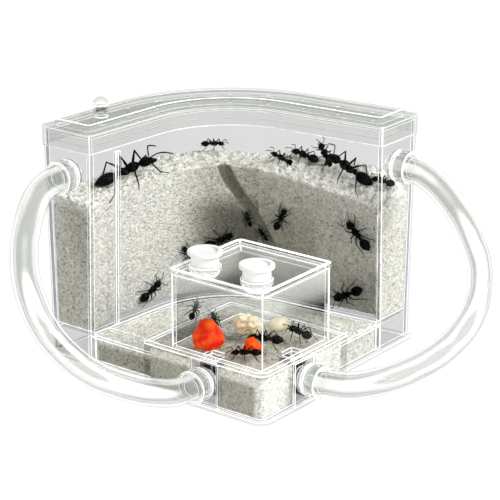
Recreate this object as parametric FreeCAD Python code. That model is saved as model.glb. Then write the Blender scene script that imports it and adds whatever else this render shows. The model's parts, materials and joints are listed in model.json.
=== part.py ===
import FreeCAD, Part
import math
import os

from FreeCAD import Placement, Rotation, Vector

# Ant habitat: a clear, arm-shaped nest tank on a plinth, a low module with a feeding box in front of it,
# and two clear hoses that lead from the nest down to the module.
# Millimetres.  The origin lies on the table below the space inside the bend, +X runs along the front-left
# face towards the front corner, +Y from there to the back, and +Z is up.

os.makedirs("parts", exist_ok=True)

# ---------------------------------------------------------------- driving dimensions
# Nest, seen from above: two arms and one wide bend.
footprint_length = 133.4
footprint_width = 128.9
origin_to_right = 65.0
origin_to_front = 63.0
arm_thickness = 27.4
bend_radius = 74.4
left_splay_deg = 3.5
back_splay_deg = 5.5
wall = 2.5
tank_corner = 2.4
draft_deg = 1.25

# Heights of the base and the nest.
base_thickness = 2.4
base_rim = 1.6
plinth_height = 12.2
nest_floor_thickness = 2.6
nest_floor_lip = 0.8
nest_height = 100.8
cover_thickness = 1.5
cover_split = 12.0

# Rib on the inside wall, near the left arm's end.
rib_place = 18.0
rib_width = 3.4
rib_depth = 1.6

# Nest lid: a plate with a skirt outside the walls, a lip inside them and a raised, beaded platform.
# The walls are thinner behind the skirt, so that it stands out only a little.
lid_plate = 2.3
skirt_drop = 7.7
skirt_wall = 1.2
rim_rebate = 0.8
lip_drop = 5.0
lip_wall = 1.4
platform_inset = 4.9
platform_corner = 2.4
platform_height = 1.7
bead_width = 1.5
bead_height = 1.5
vent_bore = 1.5
vent_pitch = 20.0
vent_first = 44.0

# Water port on the lid, closed by a domed stopper.
port_place = 25.0
port_outside = 7.8
port_bore = 5.4
port_height = 6.2
stopper_stem = 4.8
stopper_stem_length = 5.0

# Front module and its two ducts.
module_projection = 7.3
module_length = 73.2
module_width = 69.2
module_wall = 2.0
module_height = 22.4
module_corner = 1.5
module_front_corner = 5.0
window_thickness = 2.0
duct_width = 10.0
duct_depth = 9.0
duct_wall = 1.2
boss_width = 17.0
boss_thickness = 1.5

# Feeding box and its lid.
feeding_setback = 1.0
feeding_length = 55.7
feeding_width = 54.6
feeding_wall = 2.0
feeding_height = 37.1
feeding_corner = 2.6
feeding_plate = 1.5
feeding_overhang = 0.6
feeding_bead_width = 2.4
feeding_bead_height = 1.0
feeding_lip_drop = 2.6
feeding_lip_wall = 1.3

# Filling ports of the feeding lid and their plugs.
fill_port_places = {"left": 12.6, "right": 43.4}
fill_port_setback = 11.5
fill_port_outside = 15.6
fill_port_sleeve = 13.4
fill_port_bore = 12.1
fill_port_height = 2.6
plug_spigot_length = 6.0
plug_barrel = 13.5
plug_barrel_height = 5.2
plug_flange = 17.0
plug_flange_height = 2.0
plug_dish = 12.0
plug_dish_depth = 1.0

# Hose sockets and hoses.
hose_outside = 13.4
hose_bore = 10.0
flange_diameter = 15.4
flange_thickness = 2.0
spigot_length = 8.0
spigot_bore = 7.0
sleeve_inside = 1.0
collar_outside = 16.4
collar_start = 0.8
collar_length = 7.0
upper_left_place = 16.9
upper_right_place = 18.9
upper_hose_height = 98.8
lower_left_place = 34.3
lower_right_place = 31.8
lower_hose_height = 15.0
# Length that each hose runs straight out of its socket.
left_upper_run = 12.0
right_upper_run = 11.0
lower_run = 13.0

# Sand.
sand_left_outside = 84.8
sand_left_inside = 82.0
sand_bend_inside = 86.5
sand_crest = 90.5
sand_back_inside = 84.0
sand_right_inside = 75.0
sand_right_outside = 89.5
sand_right_end = 79.0
sand_right_fall = 12.5
sand_parting = 60.0
sand_gap = 0.2
gallery_gap = 4.4
left_fill_length = 16.0
right_fill_length = 6.0
module_sand_headroom = 2.6
gallery_bore = 7.0

# Food on the floor of the feeding box.
carrot_width = 18.0
carrot_height = 12.3
chip_width = 11.0
chip_height = 6.5
nut_length = 14.5
seed_length = 12.0
# Place of each on the floor, in parts of the box's length and width.
carrot_place = (0.2549, 0.2070)
chip_place = (0.6355, 0.3352)
nut_place = (0.3447, 0.6648)
nut_heading_deg = 15.0
seed_place = (0.5458, 0.8571)
seed_heading_deg = 70.0

# Clearances.
glue_gap = 0.05
lift_gap = 0.3
hose_gap = 0.1

# ---------------------------------------------------------------- derived levels and places
base_top = base_thickness
floor_bottom = base_top + plinth_height
floor_top = floor_bottom + nest_floor_thickness
nest_top = floor_top + nest_height
lid_top = nest_top + lid_plate
platform_top = lid_top + platform_height
cover_bottom = floor_top - cover_thickness
sand_face_depth = arm_thickness - wall - gallery_gap
module_top = base_top + module_height
window_top = module_top + window_thickness
feeding_top = window_top + feeding_height
feeding_plate_top = feeding_top + feeding_plate

x_right = origin_to_right
x_left = x_right - footprint_length
y_front = -origin_to_front
y_back = y_front + footprint_width

module_x1 = x_right + module_projection
module_x0 = module_x1 - module_length
module_y0 = y_front - module_projection
module_y1 = module_y0 + module_width

feeding_x1 = module_x1 - feeding_setback
feeding_x0 = feeding_x1 - feeding_length
feeding_y0 = module_y0 + feeding_setback
feeding_y1 = feeding_y0 + feeding_width

left_lean = math.radians(left_splay_deg)
back_lean = math.radians(back_splay_deg)
left_inward = Vector(math.cos(left_lean), -math.sin(left_lean), 0)
back_inward = Vector(math.sin(back_lean), -math.cos(back_lean), 0)
arm_middle = arm_thickness / 2

left_out = Vector(0, -1, 0)
right_out = Vector(1, 0, 0)
up = Vector(0, 0, 1)


def bend_centre_point():
    """The point at bend_radius inside both outer faces."""
    left_sum = left_inward.x * x_left + left_inward.y * y_front + bend_radius
    back_sum = back_inward.x * x_right + back_inward.y * y_back + bend_radius
    spread = left_inward.x * back_inward.y - left_inward.y * back_inward.x
    x = (left_sum * back_inward.y - left_inward.y * back_sum) / spread
    y = (left_inward.x * back_sum - left_sum * back_inward.x) / spread
    return Vector(x, y, 0)


bend_centre = bend_centre_point()


# ---------------------------------------------------------------- helpers
def lift(point, height):
    """The same place seen from above, at a height."""
    return Vector(point.x, point.y, height)


def box(x0, y0, z0, x1, y1, z1):
    """A block between two corners."""
    return Part.makeBox(x1 - x0, y1 - y0, z1 - z0, Vector(x0, y0, z0))


def rod(diameter, start, direction, length):
    """A round bar from a point along a direction."""
    return Part.makeCylinder(diameter / 2, length, start, direction)


def tube(outside, bore, start, direction, length):
    """A round tube from a point along a direction."""
    return rod(outside, start, direction, length).cut(rod(bore, start, direction, length))


def rounded_block(x0, y0, z0, x1, y1, z1, corner, front_corner):
    """A block whose upright edges are rounded, with its own radius at the front corner (x1, y0)."""
    shrink = 1 - math.sqrt(0.5)
    turn = corner * shrink
    front_turn = front_corner * shrink
    front_middle = Vector(x1 - front_turn, y0 + front_turn, z0)
    marks = [
        (Vector(x0 + corner, y0, z0), Vector(x1 - front_corner, y0, z0), front_middle),
        (Vector(x1, y0 + front_corner, z0), Vector(x1, y1 - corner, z0), Vector(x1 - turn, y1 - turn, z0)),
        (Vector(x1 - corner, y1, z0), Vector(x0 + corner, y1, z0), Vector(x0 + turn, y1 - turn, z0)),
        (Vector(x0, y1 - corner, z0), Vector(x0, y0 + corner, z0), Vector(x0 + turn, y0 + turn, z0)),
    ]
    edges = []
    for index, (start, stop, middle) in enumerate(marks):
        following = marks[(index + 1) % len(marks)][0]
        edges.append(Part.LineSegment(start, stop).toShape())
        edges.append(Part.Arc(stop, middle, following).toShape())
    return Part.Face(Part.Wire(edges)).extrude(Vector(0, 0, z1 - z0))


def rail_marks(depth, end_inset):
    """Five points of the line that runs a depth inside the nest's outer face, from end to end."""
    left_y = y_front + end_inset
    left_x = x_left + end_inset * math.tan(left_lean) + depth / math.cos(left_lean)
    right_x = x_right - end_inset
    right_y = y_back - end_inset * math.tan(back_lean) - depth / math.cos(back_lean)
    radius = bend_radius - depth
    halfway = (left_inward + back_inward).normalize()
    return [
        Vector(left_x, left_y, 0),
        bend_centre - left_inward * radius,
        bend_centre - halfway * radius,
        bend_centre - back_inward * radius,
        Vector(right_x, right_y, 0),
    ]


def rail_edges(marks):
    """Straight arm, bend and straight arm through five rail points."""
    return [
        Part.LineSegment(marks[0], marks[1]).toShape(),
        Part.Arc(marks[1], marks[2], marks[3]).toShape(),
        Part.LineSegment(marks[3], marks[4]).toShape(),
    ]


def rounded_turn(before, point, after, radius):
    """Start, middle and end of the arc that rounds the corner between two straight edges."""
    back = (before - point).normalize()
    ahead = (after - point).normalize()
    half_angle = back.getAngle(ahead) / 2
    setback = radius / math.tan(half_angle)
    middle = point + (back + ahead).normalize() * (radius / math.sin(half_angle) - radius)
    return point + back * setback, middle, point + ahead * setback


def prism(edges, z0, z1):
    """A solid with a closed outline, between two heights."""
    face = Part.Face(Part.Wire(edges))
    face.translate(Vector(0, 0, z0))
    return face.extrude(Vector(0, 0, z1 - z0))


def spread_at(height):
    """How far the nest's outer and inner faces stand out at a height, by the draft of its walls."""
    return max(0.0, height - floor_top) * math.tan(math.radians(draft_deg))


def arm_edges(near, far, end_inset, corner, spread):
    """Closed outline along the nest's arms between two depths, both moved away from the middle."""
    sign_near = -1 if near < arm_middle else 1
    sign_far = -1 if far < arm_middle else 1
    outer = rail_marks(near + sign_near * spread, end_inset)
    inner = rail_marks(far + sign_far * spread, end_inset)
    if corner == 0:
        right_end = Part.LineSegment(outer[4], inner[4]).toShape()
        left_end = Part.LineSegment(inner[0], outer[0]).toShape()
        return rail_edges(outer) + [right_end] + rail_edges(inner[::-1]) + [left_end]
    turns = [
        rounded_turn(outer[3], outer[4], inner[4], corner),
        rounded_turn(outer[4], inner[4], inner[3], corner),
        rounded_turn(inner[1], inner[0], outer[0], corner),
        rounded_turn(inner[0], outer[0], outer[1], corner),
    ]
    arcs = [Part.Arc(*turn).toShape() for turn in turns]
    outer_edges = rail_edges([turns[3][2]] + outer[1:4] + [turns[0][0]])
    inner_edges = rail_edges([turns[1][2]] + inner[3:0:-1] + [turns[2][0]])
    right_end = Part.LineSegment(turns[0][2], turns[1][0]).toShape()
    left_end = Part.LineSegment(turns[2][2], turns[3][0]).toShape()
    return outer_edges + [arcs[0], right_end, arcs[1]] + inner_edges + [arcs[2], left_end, arcs[3]]


def arm_prism(near, far, end_inset, z0, z1, corner=0.0, spread=0.0):
    """An upright solid that follows the nest's arms, between two depths inside the outer face."""
    return prism(arm_edges(near, far, end_inset, corner, spread), z0, z1)


def leaning_side(low, high):
    """The side between an edge of a lower outline and the same edge of the upper one."""
    if low.Curve.TypeId != "Part::GeomLine":
        return Part.makeRuledSurface(low, high)
    low_ends = [low.valueAt(low.FirstParameter), low.valueAt(low.LastParameter)]
    high_ends = [high.valueAt(high.FirstParameter), high.valueAt(high.LastParameter)]
    return Part.Face(Part.makePolygon(low_ends + high_ends[::-1] + low_ends[:1]))


def drafted_prism(near, far, end_inset, z0, z1, corner=0.0):
    """The same, but above the nest's floor its sides lean outwards by the draft."""
    foot = max(z0, floor_top)
    outlines = []
    for height in (foot, z1):
        edges = arm_edges(near, far, end_inset, corner, spread_at(height))
        for edge in edges:
            edge.translate(Vector(0, 0, height))
        outlines.append(edges)
    faces = [leaning_side(low, high) for low, high in zip(*outlines)]
    faces.extend(Part.Face(Part.Wire(edges)) for edges in outlines)
    shell = Part.makeShell(faces)
    shell.sewShape()
    leaning = Part.makeSolid(shell)
    if z0 < floor_top:
        return arm_prism(near, far, end_inset, z0, floor_top, corner).fuse(leaning)
    return leaning


def corner_prism(depth, front_inset, z0, z1):
    """A solid between a rail and the front corner of the footprint."""
    marks = rail_marks(depth, front_inset)
    corner = Vector(x_right - front_inset, y_front + front_inset, 0)
    edges = rail_edges(marks)
    edges.append(Part.LineSegment(marks[-1], corner).toShape())
    edges.append(Part.LineSegment(corner, marks[0]).toShape())
    return prism(edges, z0, z1)


def station(depth, distance):
    """The rail point that lies a distance along the rail from the left arm's end."""
    marks = rail_marks(depth, 0)
    radius = bend_radius - depth
    first = marks[0].distanceToPoint(marks[1])
    bend = radius * left_inward.getAngle(back_inward)
    if distance <= first:
        return marks[0] + (marks[1] - marks[0]) * (distance / first)
    if distance <= first + bend:
        turned = math.degrees((distance - first) / radius)
        spoke = Rotation(up, -turned).multVec(marks[1] - bend_centre)
        return bend_centre + spoke
    beyond = distance - first - bend
    return marks[3] + (marks[4] - marks[3]).normalize() * beyond


def rail_length(depth):
    """Length of the rail from end to end."""
    marks = rail_marks(depth, 0)
    straight = marks[0].distanceToPoint(marks[1]) + marks[3].distanceToPoint(marks[4])
    return straight + (bend_radius - depth) * left_inward.getAngle(back_inward)


def save(name, shape):
    """Write one node."""
    shape.exportStep("parts/%s.step" % name)


# ---------------------------------------------------------------- socket places
upper_left_face = Vector(x_left + upper_left_place, y_front, upper_hose_height)
upper_right_face = Vector(x_right, y_back - upper_right_place, upper_hose_height)
lower_left_wall = Vector(module_x1 - lower_left_place, module_y0, lower_hose_height)
lower_right_wall = Vector(module_x1, module_y0 + lower_right_place, lower_hose_height)
lower_left_face = lower_left_wall + left_out * boss_thickness
lower_right_face = lower_right_wall + right_out * boss_thickness


# ---------------------------------------------------------------- base
def module_block(z0, z1, grow):
    """The module's outline as a solid, grown outwards."""
    return rounded_block(
        module_x0 - grow,
        module_y0 - grow,
        z0,
        module_x1 + grow,
        module_y1 + grow,
        z1,
        module_corner + grow,
        module_front_corner + grow,
    )


def base_plate():
    """One flat plate under the nest, the base and the module."""
    under_nest = corner_prism(-base_rim, -base_rim, 0, base_top)
    return under_nest.fuse(module_block(0, base_top, base_rim)).removeSplitter()


def nest_keepout(z0, z1):
    """The space that the nest and its floor's lip take."""
    return arm_prism(-base_rim, arm_thickness + nest_floor_lip, -base_rim, z0, z1)


def base_wall_front_left():
    """Low wall of the base between the nest's left arm and the module."""
    slab = box(x_left + arm_middle, y_front, base_top, module_x0 + wall, y_front + wall, cover_bottom)
    return slab.cut(nest_keepout(base_top, cover_bottom)).cut(module_block(base_top, cover_bottom, 0))


def base_wall_front_right():
    """Low wall of the base between the module and the nest's back arm."""
    slab = box(x_right - wall, module_y1 - wall, base_top, x_right, y_back - arm_middle, cover_bottom)
    return slab.cut(nest_keepout(base_top, cover_bottom)).cut(module_block(base_top, cover_bottom, 0))


def base_sand():
    """Sand between the plinth, the base walls and the module."""
    depth = arm_thickness + nest_floor_lip + sand_gap
    bed = corner_prism(depth, wall + sand_gap, base_top, cover_bottom)
    return bed.cut(module_block(base_top, cover_bottom, sand_gap))


def base_cover():
    """Clear sheet over the base sand, before it is divided in two."""
    sheet = corner_prism(arm_thickness + nest_floor_lip, 0, cover_bottom, floor_top)
    return sheet.cut(module_block(cover_bottom, floor_top, 0))


def base_cover_front():
    """The strip of the cover along the front-left face."""
    strip = box(x_left, y_front, cover_bottom, x_right, y_front + cover_split, floor_top)
    return base_cover().common(strip)


def base_cover_rear():
    """The rest of the cover, up to the nest."""
    rest = box(x_left, y_front + cover_split, cover_bottom, x_right, y_back, floor_top)
    return base_cover().common(rest)


def plinth_wall():
    """Clear wall under the nest's floor, on the inside of the bend."""
    return arm_prism(arm_thickness - wall, arm_thickness, wall, base_top, floor_bottom)


# ---------------------------------------------------------------- nest
def nest_floor():
    """Floor sheet of the nest, with a lip past the inside wall."""
    return arm_prism(wall, arm_thickness + nest_floor_lip, wall, floor_bottom, floor_top)


def outer_wall():
    """Tall outside wall, from the base plate to the lid."""
    return drafted_prism(0, wall, wall, base_top, nest_top).cut(rim_ring())


def inner_wall():
    """Inside wall, which stands on the nest's floor."""
    return drafted_prism(arm_thickness - wall, arm_thickness, wall, floor_top, nest_top).cut(rim_ring())


def rim_ring():
    """The ring of wall that is taken off behind the lid's skirt."""
    spread = spread_at(nest_top)
    beyond = base_rim
    foot = nest_top - skirt_drop
    whole = arm_prism(-beyond, arm_thickness + beyond, -beyond, foot, nest_top, 0.0, spread)
    kept = arm_prism(rim_rebate, arm_thickness - rim_rebate, rim_rebate, foot, nest_top, tank_corner, spread)
    return whole.cut(kept)


def end_panels():
    """Both end panels of the arms, before they are told apart."""
    whole = drafted_prism(0, arm_thickness, 0, base_top, nest_top, tank_corner).cut(rim_ring())
    beyond = base_rim + spread_at(nest_top)
    return whole.cut(arm_prism(-beyond, arm_thickness + beyond, wall, base_top, nest_top))


def end_panel_left():
    """End panel of the left arm, with the hole for the left hose's upper socket."""
    side = box(x_left - wall, y_front, base_top, 0, y_front + wall, nest_top)
    hole = rod(hose_bore, upper_left_face, left_out * -1, wall)
    return end_panels().common(side).cut(hole)


def end_panel_right():
    """End panel of the back arm, with the hole for the right hose's upper socket."""
    side = box(x_right - wall, 0, base_top, x_right, y_back + wall, nest_top)
    hole = rod(hose_bore, upper_right_face, right_out * -1, wall)
    return end_panels().common(side).cut(hole)


def inner_rib():
    """Upright rib on the face of the inside wall."""
    near = arm_thickness + glue_gap
    y0 = y_front + rib_place - rib_width / 2
    top = nest_top - skirt_drop - lip_wall
    strip = drafted_prism(near, near + rib_depth, 0, floor_top, top)
    return strip.common(box(x_left, y0, floor_top, 0, y0 + rib_width, top))


def bank(first, second, third, x0, x1):
    """The ground under the plane through three points, between two places along X."""
    normal = (second - first).cross(third - first)
    y0 = y_front - arm_thickness
    y1 = y_back + arm_thickness
    corners = []
    for x, y in ((x0, y0), (x1, y0), (x1, y1), (x0, y1)):
        drop = (normal.x * (x - first.x) + normal.y * (y - first.y)) / normal.z
        corners.append(Vector(x, y, first.z - drop))
    deep = footprint_length + footprint_width + nest_top
    return Part.Face(Part.makePolygon(corners + corners[:1])).extrude(Vector(0, 0, -deep))


def sand_hill():
    """A solid whose top is the nest's sand: it rises to a crest in the bend and leans to the inside."""
    inside = rail_marks(sand_face_depth, 0)
    parting_x = x_left + sand_parting
    beyond = x_right + wall
    left_bank = bank(
        Vector(x_left, y_front, sand_left_outside),
        Vector(x_left + arm_thickness, y_front, sand_left_inside),
        lift(inside[2], sand_bend_inside),
        x_left - wall,
        parting_x,
    )
    back_bank = bank(
        lift(inside[3], sand_back_inside),
        lift(inside[4], sand_right_inside),
        Vector(x_right, y_back, sand_right_outside),
        parting_x,
        beyond,
    )
    end_fall = bank(
        Vector(x_right - sand_right_fall, y_front, sand_crest),
        Vector(x_right - wall, y_front, sand_right_end),
        Vector(x_right - sand_right_fall, y_back, sand_crest),
        parting_x,
        beyond,
    )
    spread = spread_at(nest_top)
    crest = arm_prism(-spread, arm_thickness + spread, 0, floor_top, sand_crest)
    return left_bank.fuse(back_bank.common(end_fall)).common(crest)


def nest_sand():
    """Sand of the nest: full at both ends, and held back from the inside wall by the gallery between."""
    near = wall + sand_gap
    bed = drafted_prism(near, sand_face_depth, near, floor_top, sand_crest)
    filled = drafted_prism(near, arm_thickness - wall - sand_gap, near, floor_top, sand_crest)
    left_zone = box(x_left, y_front, floor_top, 0, y_front + left_fill_length, nest_top)
    right_zone = box(x_right - right_fill_length, 0, floor_top, x_right, y_back, nest_top)
    sand = bed.fuse(filled.common(left_zone)).fuse(filled.common(right_zone))
    return sand.common(sand_hill()).cut(gallery()).removeSplitter()


def inward_at(place):
    """The way from the nest's outer face to its inner one, at a place on a rail."""
    spoke = (place - bend_centre).normalize()
    if spoke.cross(back_inward * -1).z > 0:
        return back_inward
    if spoke.cross(left_inward * -1).z < 0:
        return left_inward
    return spoke * -1


def face_place(along, level):
    """A place on the sand's face and the way it faces, in parts of the nest's length and height."""
    height = floor_top + level * nest_height
    depth = sand_face_depth + spread_at(height)
    place = station(depth, along * rail_length(depth))
    return lift(place, height), inward_at(place)


# The tunnel's course on the sand's face, in parts of the nest's length and height.
gallery_marks = [(0.4708, 0.7917), (0.5148, 0.5982), (0.5888, 0.3849), (0.6337, 0.2262)]


def gallery():
    """The round tunnel that the ants dug slantwise into the sand's face."""
    points = [face_place(along, level)[0] for along, level in gallery_marks]
    parts = []
    for start, stop in zip(points, points[1:]):
        run = stop - start
        parts.append(rod(gallery_bore, start, run, run.Length))
        parts.append(Part.makeSphere(gallery_bore / 2, stop))
    return parts[0].multiFuse(parts[1:])


# ---------------------------------------------------------------- nest lid
def lid_block(depth, z0, z1, corner):
    """A block with the lid's outline, at a depth inside the outer face of the walls' rim."""
    return arm_prism(depth, arm_thickness - depth, depth, z0, z1, corner, spread_at(nest_top))


def nest_lid():
    """Lid of the nest: plate, skirt, locating lip and a raised platform with a bead round it."""
    hollow_depth = rim_rebate - lift_gap
    skirt_depth = hollow_depth - skirt_wall
    skirt_bottom = nest_top - skirt_drop
    body = lid_block(skirt_depth, skirt_bottom, lid_top, tank_corner + skirt_wall)
    hollow = lid_block(hollow_depth, skirt_bottom, nest_top, tank_corner)
    lip_depth = wall + lift_gap
    lip_bottom = nest_top - lip_drop
    lip = lid_block(lip_depth, lip_bottom, nest_top, 0.0)
    lip_space = lid_block(lip_depth + lip_wall, lip_bottom, nest_top, 0.0)
    edge = skirt_depth + platform_inset
    bead_top = platform_top + bead_height
    platform = lid_block(edge, lid_top, bead_top, platform_corner)
    dish = lid_block(edge + bead_width, platform_top, bead_top, platform_corner / 2)
    lid = body.cut(hollow).fuse(lip.cut(lip_space)).fuse(platform.cut(dish))
    for place in vent_places():
        lid = lid.cut(rod(vent_bore, lift(place, nest_top), up, lid_plate + platform_height))
    port_hole = rod(port_bore, lift(port_point(), nest_top), up, lid_plate + platform_height)
    return lid.cut(port_hole).removeSplitter()


def vent_places():
    """Evenly spaced vents along the middle of the lid."""
    count = int((rail_length(arm_middle) - vent_first) / vent_pitch) + 1
    return [station(arm_middle, vent_first + step * vent_pitch) for step in range(count)]


def port_point():
    """Where the water port stands, seen from above."""
    return station(arm_middle, port_place)


def water_port():
    """Short tube on the lid, for dripping water into the nest."""
    return tube(port_outside, port_bore, lift(port_point(), platform_top), up, port_height)


def port_stopper():
    """Domed stopper that closes the water port."""
    seat = lift(port_point(), platform_top + port_height)
    dome = Part.makeSphere(port_outside / 2, seat, up, 0, 90, 360)
    stem = rod(stopper_stem, seat, up * -1, stopper_stem_length)
    return dome.fuse(stem)


# ---------------------------------------------------------------- module
def module_shell():
    """Walls of the module, with the holes for both lower sockets."""
    inside = rounded_block(
        module_x0 + module_wall,
        module_y0 + module_wall,
        base_top,
        module_x1 - module_wall,
        module_y1 - module_wall,
        module_top,
        module_corner,
        module_front_corner - module_wall,
    )
    shell = module_block(base_top, module_top, 0).cut(inside)
    for face, outward in ((lower_left_wall, left_out), (lower_right_wall, right_out)):
        shell = shell.cut(rod(hose_bore, face, outward * -1, module_wall))
    return shell


def duct_block(wall_point, outward, shrink, z0, z1):
    """The block of a duct behind a lower socket, shrunk on its sides."""
    across = outward.cross(up)
    near = wall_point - outward * (module_wall + shrink)
    far = wall_point - outward * (module_wall + duct_depth - shrink)
    side = across * (duct_width / 2 - shrink)
    corners = [near - side, near + side, far + side, far - side]
    x0 = min(point.x for point in corners)
    x1 = max(point.x for point in corners)
    y0 = min(point.y for point in corners)
    y1 = max(point.y for point in corners)
    return box(x0, y0, z0, x1, y1, z1)


def duct(wall_point, outward):
    """Square upright duct that leads from a lower socket to the feeding box."""
    outside = duct_block(wall_point, outward, 0, base_top, module_top)
    inside = duct_block(wall_point, outward, duct_wall, base_top, module_top)
    mouth = rod(spigot_bore, wall_point, outward * -1, module_wall + duct_wall + spigot_bore / 2)
    return outside.cut(inside).cut(mouth)


def module_window():
    """Clear top plate of the module, with a square hole over each duct."""
    plate = module_block(module_top, window_top, 0)
    for wall_point, outward in ((lower_left_wall, left_out), (lower_right_wall, right_out)):
        plate = plate.cut(duct_block(wall_point, outward, duct_wall, module_top, window_top))
    return plate


def module_sand():
    """Sand inside the module, round both ducts."""
    inset = module_wall + sand_gap
    bed = rounded_block(
        module_x0 + inset,
        module_y0 + inset,
        base_top,
        module_x1 - inset,
        module_y1 - inset,
        module_top - module_sand_headroom,
        module_corner,
        module_front_corner - module_wall,
    )
    for wall_point, outward in ((lower_left_wall, left_out), (lower_right_wall, right_out)):
        bed = bed.cut(duct_block(wall_point, outward, -sand_gap, base_top, module_top))
    return bed


def boss_plate(wall_point, outward):
    """Plate on the module's wall that stiffens it round a lower socket."""
    across = outward.cross(up) * (boss_width / 2)
    low = wall_point - across
    high = wall_point + across + outward * boss_thickness
    plate = box(
        min(low.x, high.x), min(low.y, high.y), base_top, max(low.x, high.x), max(low.y, high.y), module_top
    )
    return plate.cut(rod(hose_bore, wall_point, outward, boss_thickness))


# ---------------------------------------------------------------- feeding box
def feeding_block(z0, z1, grow):
    """The feeding box's outline as a solid, grown outwards."""
    corner = max(feeding_corner + grow, feeding_corner / 4)
    return rounded_block(
        feeding_x0 - grow,
        feeding_y0 - grow,
        z0,
        feeding_x1 + grow,
        feeding_y1 + grow,
        z1,
        corner,
        corner,
    )


def feeding_box():
    """Four clear walls in one piece, open at the top."""
    inside = feeding_block(window_top, feeding_top, -feeding_wall)
    return feeding_block(window_top, feeding_top, 0).cut(inside)


def fill_port_point(name):
    """Where a filling port stands, seen from above."""
    return Vector(feeding_x0 + fill_port_places[name], feeding_y0 + fill_port_setback, 0)


def feeding_lid():
    """Lid of the feeding box: plate, raised rim, locating lip and two holes for the filling ports."""
    plate = feeding_block(feeding_top, feeding_plate_top + feeding_bead_height, feeding_overhang)
    dish = feeding_block(
        feeding_plate_top, feeding_plate_top + feeding_bead_height, feeding_overhang - feeding_bead_width
    )
    lip_out = -feeding_wall - lift_gap
    lip_bottom = feeding_top - feeding_lip_drop
    lip = feeding_block(lip_bottom, feeding_top, lip_out)
    lip_space = feeding_block(lip_bottom, feeding_top, lip_out - feeding_lip_wall)
    lid = plate.cut(dish).fuse(lip.cut(lip_space))
    for name in fill_port_places:
        hole = rod(fill_port_sleeve, lift(fill_port_point(name), feeding_top), up, feeding_plate)
        lid = lid.cut(hole)
    return lid.removeSplitter()


def fill_port(name):
    """Collar of a filling port, glued into the lid."""
    foot = lift(fill_port_point(name), feeding_plate_top)
    ring = rod(fill_port_outside, foot, up, fill_port_height)
    sleeve = rod(fill_port_sleeve - 2 * glue_gap, foot, up * -1, feeding_plate)
    bore = rod(fill_port_bore, lift(foot, feeding_top), up, feeding_plate + fill_port_height)
    return ring.fuse(sleeve).cut(bore)


def plug(name):
    """White plug of a filling port: spigot, barrel and a dished flange."""
    seat = lift(fill_port_point(name), feeding_plate_top + fill_port_height)
    flange_foot = seat + up * plug_barrel_height
    dish_foot = flange_foot + up * (plug_flange_height - plug_dish_depth)
    spigot = rod(fill_port_bore - 2 * lift_gap, seat, up * -1, plug_spigot_length)
    barrel = rod(plug_barrel, seat, up, plug_barrel_height)
    flange = rod(plug_flange, flange_foot, up, plug_flange_height)
    dish = rod(plug_dish, dish_foot, up, plug_dish_depth)
    return spigot.fuse(barrel).fuse(flange).cut(dish).removeSplitter()


# ---------------------------------------------------------------- sockets and hoses
def socket(face, outward, inward_length):
    """Hose socket: a sleeve through the wall, a flange on its face and a spigot for the hose."""
    outside = hose_bore - 2 * hose_gap
    sleeve = rod(outside, face - outward * inward_length, outward, inward_length)
    flange = rod(flange_diameter, face, outward, flange_thickness)
    spigot = rod(outside, face, outward, flange_thickness + spigot_length)
    bore_start = face - outward * inward_length
    bore = rod(spigot_bore, bore_start, outward, inward_length + flange_thickness + spigot_length)
    return sleeve.fuse(flange).fuse(spigot).cut(bore).removeSplitter()


def collar(face, outward):
    """Ring that holds the hose on its spigot."""
    start = face + outward * (flange_thickness + collar_start)
    return tube(collar_outside, hose_outside + 2 * hose_gap, start, outward, collar_length)


# Control points of each hose between its two flanges.  The first and last are worked out from the sockets.
left_hose_start = upper_left_face + left_out * flange_thickness
left_hose_stop = lower_left_face + left_out * flange_thickness
left_hose_route = [
    left_hose_start,
    left_hose_start + left_out * left_upper_run,
    Vector(-48.5, -89.5, 96.0),
    Vector(-42.0, -102.5, 90.5),
    Vector(-31.5, -118.5, 80.5),
    Vector(-18.0, -131.5, 67.5),
    Vector(-0.5, -137.0, 50.0),
    Vector(15.5, -131.0, 35.0),
    Vector(28.0, -118.0, 25.5),
    Vector(35.5, -102.0, 18.5),
    left_hose_stop + left_out * lower_run,
    left_hose_stop,
]
right_hose_start = upper_right_face + right_out * flange_thickness
right_hose_stop = lower_right_face + right_out * flange_thickness
right_hose_route = [
    right_hose_start,
    right_hose_start + right_out * right_upper_run,
    Vector(90.0, 44.5, 95.5),
    Vector(103.0, 39.0, 90.0),
    Vector(119.0, 30.0, 82.0),
    Vector(136.5, 17.0, 67.5),
    Vector(143.0, 0.5, 50.5),
    Vector(135.0, -16.5, 34.5),
    Vector(120.0, -28.5, 24.5),
    Vector(104.0, -36.0, 18.0),
    right_hose_stop + right_out * lower_run,
    right_hose_stop,
]


def hose_path(name, route):
    """Straight runs joined by tangent arcs, each as large as its two runs allow."""
    largest_share = 0.45
    edges = []
    radii = []
    start = route[0]
    for before, point, after in zip(route, route[1:], route[2:]):
        arriving = (point - before).normalize()
        leaving = (after - point).normalize()
        shorter = min(before.distanceToPoint(point), point.distanceToPoint(after))
        half_turn = arriving.getAngle(leaving) / 2
        setback = largest_share * shorter
        radius = setback / math.tan(half_turn)
        arc_start = point - arriving * setback
        arc_stop = point + leaving * setback
        inward = (leaving - arriving).normalize()
        rise = radius / math.cos(half_turn) - radius
        edges.append(Part.LineSegment(start, arc_start).toShape())
        edges.append(Part.Arc(arc_start, point + inward * rise, arc_stop).toShape())
        radii.append(round(radius, 1))
        start = arc_stop
    edges.append(Part.LineSegment(start, route[-1]).toShape())
    wire = Part.Wire(edges)
    print(name, "radii", radii, "length", round(wire.Length, 1))
    return wire


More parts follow.
